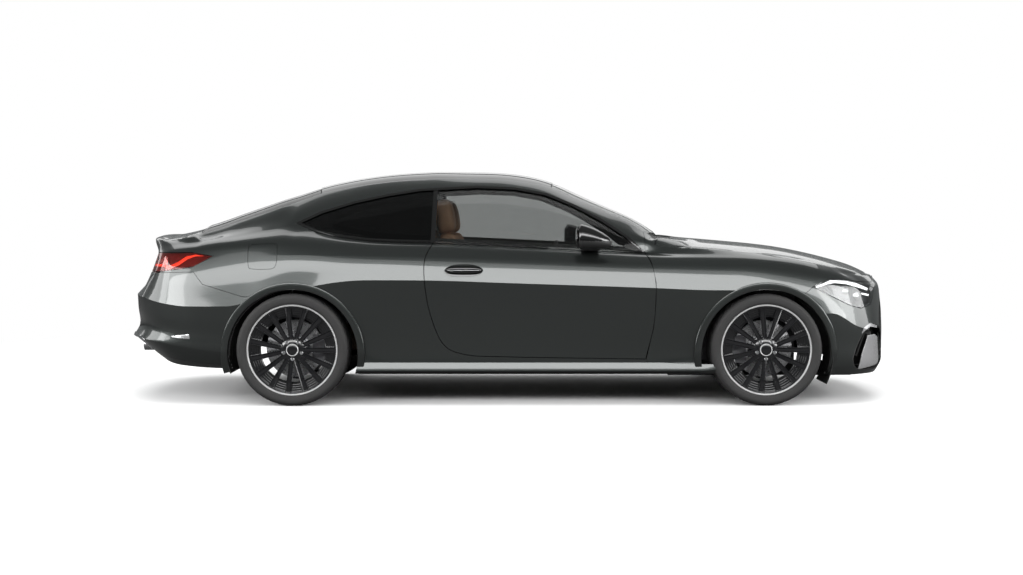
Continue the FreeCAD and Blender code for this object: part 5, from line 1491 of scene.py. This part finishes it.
def pillow(size, cuts=14, power=5.0, grooves=()):
    """A block with full, rounded sides; grooves are (axis, place, depth) lines pressed into it."""
    mesh = bmesh.new()
    bmesh.ops.create_cube(mesh, size=2.0)
    bmesh.ops.subdivide_edges(mesh, edges=mesh.edges, cuts=cuts, use_grid_fill=True)
    half = Vector(size) / 2
    for v in mesh.verts:
        u = v.co / sum(abs(c) ** power for c in v.co) ** (1 / power)
        pinch = 1.0
        for axis, spot, depth in grooves:
            pinch -= depth * math.exp(-((u[axis] - spot) / 0.045) ** 2)
        v.co = Vector((u.x * half.x, u.y * half.y, u.z * half.z)) * pinch
    return outwards(mesh)


def set_in(mesh, centre, lean=0.0):
    """Leans a mesh backwards about its own middle and puts it at its place."""
    return shift(turn(mesh, -lean, "Y"), centre)


# %% The pads: name, size, centre, lean, grooves, CAD node
LEAN = 17.0
BENCH_LEAN = 24.0
SEAT_Y = 0.38
FLUTES = tuple((2, spot, 0.10) for spot in (-0.62, -0.36, -0.10, 0.16, 0.42, 0.68))
SLOTS = tuple((0, spot, 0.10) for spot in (-0.60, -0.30, 0.0, 0.30, 0.60))
pads = []
for side, sign in SIDES:
    seat, bench = side + "_seat_", side + "_bench_"
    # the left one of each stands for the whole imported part
    seat_node, bench_node = (["front_seats"], ["rear_bench"]) if sign > 0 else ([], [])
    y = SEAT_Y * sign
    pads += [
        (seat + "cushion", (0.50, 0.310, 0.105), (-0.035, y, 0.495), -5.0, SLOTS, seat_node),
        (seat + "back", (0.100, 0.300, 0.560), (-0.330, y, 0.790), LEAN, FLUTES, []),
        (seat + "headrest", (0.130, 0.270, 0.235), (-0.405, y, 1.145), 10.0, ((1, 0.0, 0.03),), []),
        (seat + "nose", (0.110, 0.330, 0.110), (0.190, y, 0.478), -5.0, (), []),
    ]
    for k, out in enumerate((-1, 1)):
        pads += [
            (seat + "side_%d" % k, (0.52, 0.085, 0.150), (-0.020, y + 0.192 * out, 0.500), -5.0, (), []),
            (seat + "wing_%d" % k, (0.145, 0.085, 0.560), (-0.310, y + 0.186 * out, 0.770), LEAN, (), []),
        ]
    y = 0.262 * sign
    pads += [
        (bench + "cushion", (0.430, 0.440, 0.120), (-0.810, y, 0.535), -6.0, SLOTS, bench_node),
        (bench + "back", (0.110, 0.440, 0.430), (-1.075, y, 0.790), BENCH_LEAN, FLUTES, []),
    ]
# a pad starts this much smaller, since the cloth swells, and no point of it may move further than the cap
SHRINK = 0.016
CAP = 0.022
CLOTH_FRAMES = 20
padded = []
for name, size, centre, lean, grooves, stands in pads:
    soft = pillow([v - SHRINK for v in size], 12 if max(size) < 0.3 else 16, 4.5, grooves)
    made = drop_in(set_in(soft, centre, lean), name, leather, stands=stands)
    padded.append(made)
print("pads:", len(padded))

# %% Blow them up with cloth, then keep the result
before = {}
for made in padded:
    before[made.name] = [v.co.copy() for v in made.data.vertices]
    fill = made.modifiers.new("fill", "CLOTH")
    fill.settings.quality = 4
    fill.settings.mass = 0.3
    fill.settings.tension_stiffness = 12.0
    fill.settings.compression_stiffness = 12.0
    fill.settings.bending_stiffness = 1.5
    fill.settings.use_pressure = True
    fill.settings.uniform_pressure_force = 4.0
    fill.settings.effector_weights.gravity = 0.0
    fill.collision_settings.use_collision = False
    fill.point_cache.frame_end = CLOTH_FRAMES
for frame_number in range(1, CLOTH_FRAMES + 1):
    scene.frame_set(frame_number)
view = bpy.context.evaluated_depsgraph_get()
furthest = 0.0
for made in padded:
    blown = made.evaluated_get(view).data
    moved = []
    for old, new in zip(before[made.name], blown.vertices):
        step = new.co - old
        moved.append(old + step * min(1.0, CAP / max(step.length, 1e-9)))
        furthest = max(furthest, (moved[-1] - old).length)
    made.modifiers.clear()
    for v, spot in zip(made.data.vertices, moved):
        v.co = spot
scene.frame_set(1)
print("cloth settled, largest move", round(furthest, 4))
for made in padded:
    finer = made.modifiers.new("finer", "SUBSURF")
    finer.levels = finer.render_levels = 1
    for face in made.data.polygons:
        face.use_smooth = True

# %% Seat shells, bases and headrest posts
for side, sign in SIDES:
    y = SEAT_Y * sign
    shell = set_in(pillow((0.050, 0.440, 0.600), 10, 7.0), (-0.392, y, 0.770), LEAN)
    drop_in(shell, side + "_seat_shell", leather_dark)
    base = [block((-0.290, y - 0.225, 0.385), (0.220, y + 0.225, 0.445), 0.018, 3)]
    for rail in (y - 0.170, y + 0.170):
        base.append(block((-0.300, rail - 0.018, 0.272), (0.215, rail + 0.018, 0.300), 0.004, 1))
        for x in (-0.220, 0.130):
            base.append(block((x - 0.030, rail - 0.012, 0.296), (x + 0.030, rail + 0.012, 0.395), 0.004, 1))
    drop_in(join(*base), side + "_seat_base", cabin_black)
    posts = []
    for out in (-0.055, 0.055):
        post = lathe([(0.0, -0.075), (0.0065, -0.075), (0.0065, 0.075), (0.0, 0.075)], 16, closed=False)
        posts.append(set_in(turn(post, 90, "X"), (-0.432, y + out, 1.065), LEAN))
    drop_in(join(*posts), side + "_headrest_posts", chrome)
bench = [block((-1.030, -0.495, 0.300), (-0.600, 0.495, 0.470), 0.020, 2),
         set_in(block((-0.020, -0.49, -0.24), (0.020, 0.49, 0.24), 0.012, 2), (-1.155, 0, 0.760), BENCH_LEAN)]
drop_in(join(*bench), "bench_shell", leather_dark)
print("seat shells in")

# %% Dashboard, console and wheel
dash = [set_in(pillow((0.560, 1.330, 0.140), 22, 6.0), (0.640, 0, 0.850), 4.0),
        block((0.400, -0.64, 0.640), (0.980, 0.64, 0.830), 0.050, 5)]
drop_in(join(*dash), "dash_pad", cabin_black, stands=["dashboard"])
band = block((0.372, -0.630, 0.770), (0.420, 0.630, 0.815), 0.010, 2)
drop_in(band, "dash_band", gloss_black)
screens = [set_in(block((-0.006, -0.150, -0.055), (0.006, 0.150, 0.055), 0.005, 2), (0.400, 0.37, 0.905), -10.0),
           set_in(block((-0.006, -0.110, -0.140), (0.006, 0.110, 0.140), 0.005, 2), (0.350, 0.0, 0.690), 26.0)]
drop_in(join(*screens), "screens", screen_black)
vents = []
for y in (-0.560, -0.065, 0.065, 0.560):
    ring_mesh = lathe([(0.026, 0.0), (0.033, 0.004), (0.038, 0.0), (0.038, -0.014), (0.026, -0.014)], 36)
    hub = lathe([(0.0, 0.003), (0.008, 0.0015), (0.010, -0.012), (0.0, -0.012)], 24, closed=False)
    blades = [turn(block((-0.027, -0.010, -0.0012), (0.027, -0.004, 0.0012)), 60 * k, "Y") for k in range(3)]
    vents.append(shift(turn(join(ring_mesh, hub, *blades), 90, "Z"), (0.368, y, 0.862)))
drop_in(join(*vents), "vents", chrome)
console = [block((-0.285, -0.105, 0.275), (0.500, 0.105, 0.520), 0.030, 4),
           set_in(block((-0.16, -0.100, -0.10), (0.16, 0.100, 0.10), 0.030, 4), (0.400, 0, 0.560), 30.0)]
drop_in(join(*console), "console_body", cabin_black, stands=["centre_console"])
lid = block((-0.030, -0.085, 0.512), (0.240, 0.085, 0.527), 0.006, 2)
drop_in(lid, "console_lid", gloss_black)
rest = set_in(pillow((0.260, 0.195, 0.070), 10, 5.0, ((1, 0.0, 0.06),)), (-0.170, 0, 0.545))
drop_in(rest, "armrest", leather)
COLUMN_TURN = 22.0
WHEEL_PLACE = (0.260, 0.370, 0.800)
hoop = lathe([(0.184 + 0.0155 * math.cos(a), 0.0135 * math.sin(a)) for a in np.linspace(0, 2 * math.pi, 17)[:-1]], 80)
boss = lathe([(0.0, 0.030), (0.030, 0.029), (0.052, 0.022), (0.060, 0.008), (0.056, -0.020), (0.0, -0.024)], 40,
             closed=False)
spokes = [turn(block((0.045, -0.007, -0.020), (0.175, 0.007, 0.020), 0.006, 2), -a, "Y") for a in (4.0, 176.0, 270.0)]
grip = shift(turn(turn(join(hoop, boss, *spokes), 90, "Z"), COLUMN_TURN, "Y"), WHEEL_PLACE)
drop_in(grip, "wheel_grip", cabin_black, "steering", ["steering_wheel"])
print("cabin furniture in")

# %% Linings inside the glass and the doors
CARD = [(-0.470, 0.930), (-0.478, 0.760), (-0.455, 0.600), (-0.400, 0.440), (-0.340, 0.375), (-0.160, 0.345),
        (0.790, 0.335), (0.840, 0.480), (0.850, 0.640), (0.845, 0.760), (0.800, 0.900), (0.392, 0.930), (0.039, 0.945)]
UPPER_CARD = [(-0.430, 0.930), (-0.430, 0.760), (0.780, 0.740), (0.780, 0.880), (0.392, 0.920)]
BELOW_GLASS = [(-1.5, 0.60), (-1.5, 1.02), (-0.50, 0.975), (0.90, 0.945), (0.90, 0.60)]
DOOR_RANGE = (-0.6, 0.98)
for side, sign in SIDES:
    door = side + "_door_assembly"
    patch(side + "_door_card", CARD, sign, cabin_black, DOOR_RANGE, 0.012, -0.0455, 0.002, body=door)
    rest = shift(pillow((0.520, 0.070, 0.055), 12, 5.0), (0.080, 0.835 * sign, 0.640))
    drop_in(rest, side + "_door_rest", leather, door)
    patch(side + "_door_panel", UPPER_CARD, sign, leather, DOOR_RANGE, 0.006, -0.0570, 0.003, body=door)
    patch(side + "_rail_lining", grow(SIDE_GLASS, 0.060), sign, cabin_black, WINDOWS, 0.008, -0.0460,
          0.001, drop=[grow(SIDE_GLASS, -0.020), BELOW_GLASS], lines=WINDOW_LINES)
plan_patch("roof_lining", ROOF_PLAN, (-1.45, 0.50), "top", ROOF_HEIGHTS, "car_body", cabin_black, [],
           0.006, -0.038)
print("linings in")
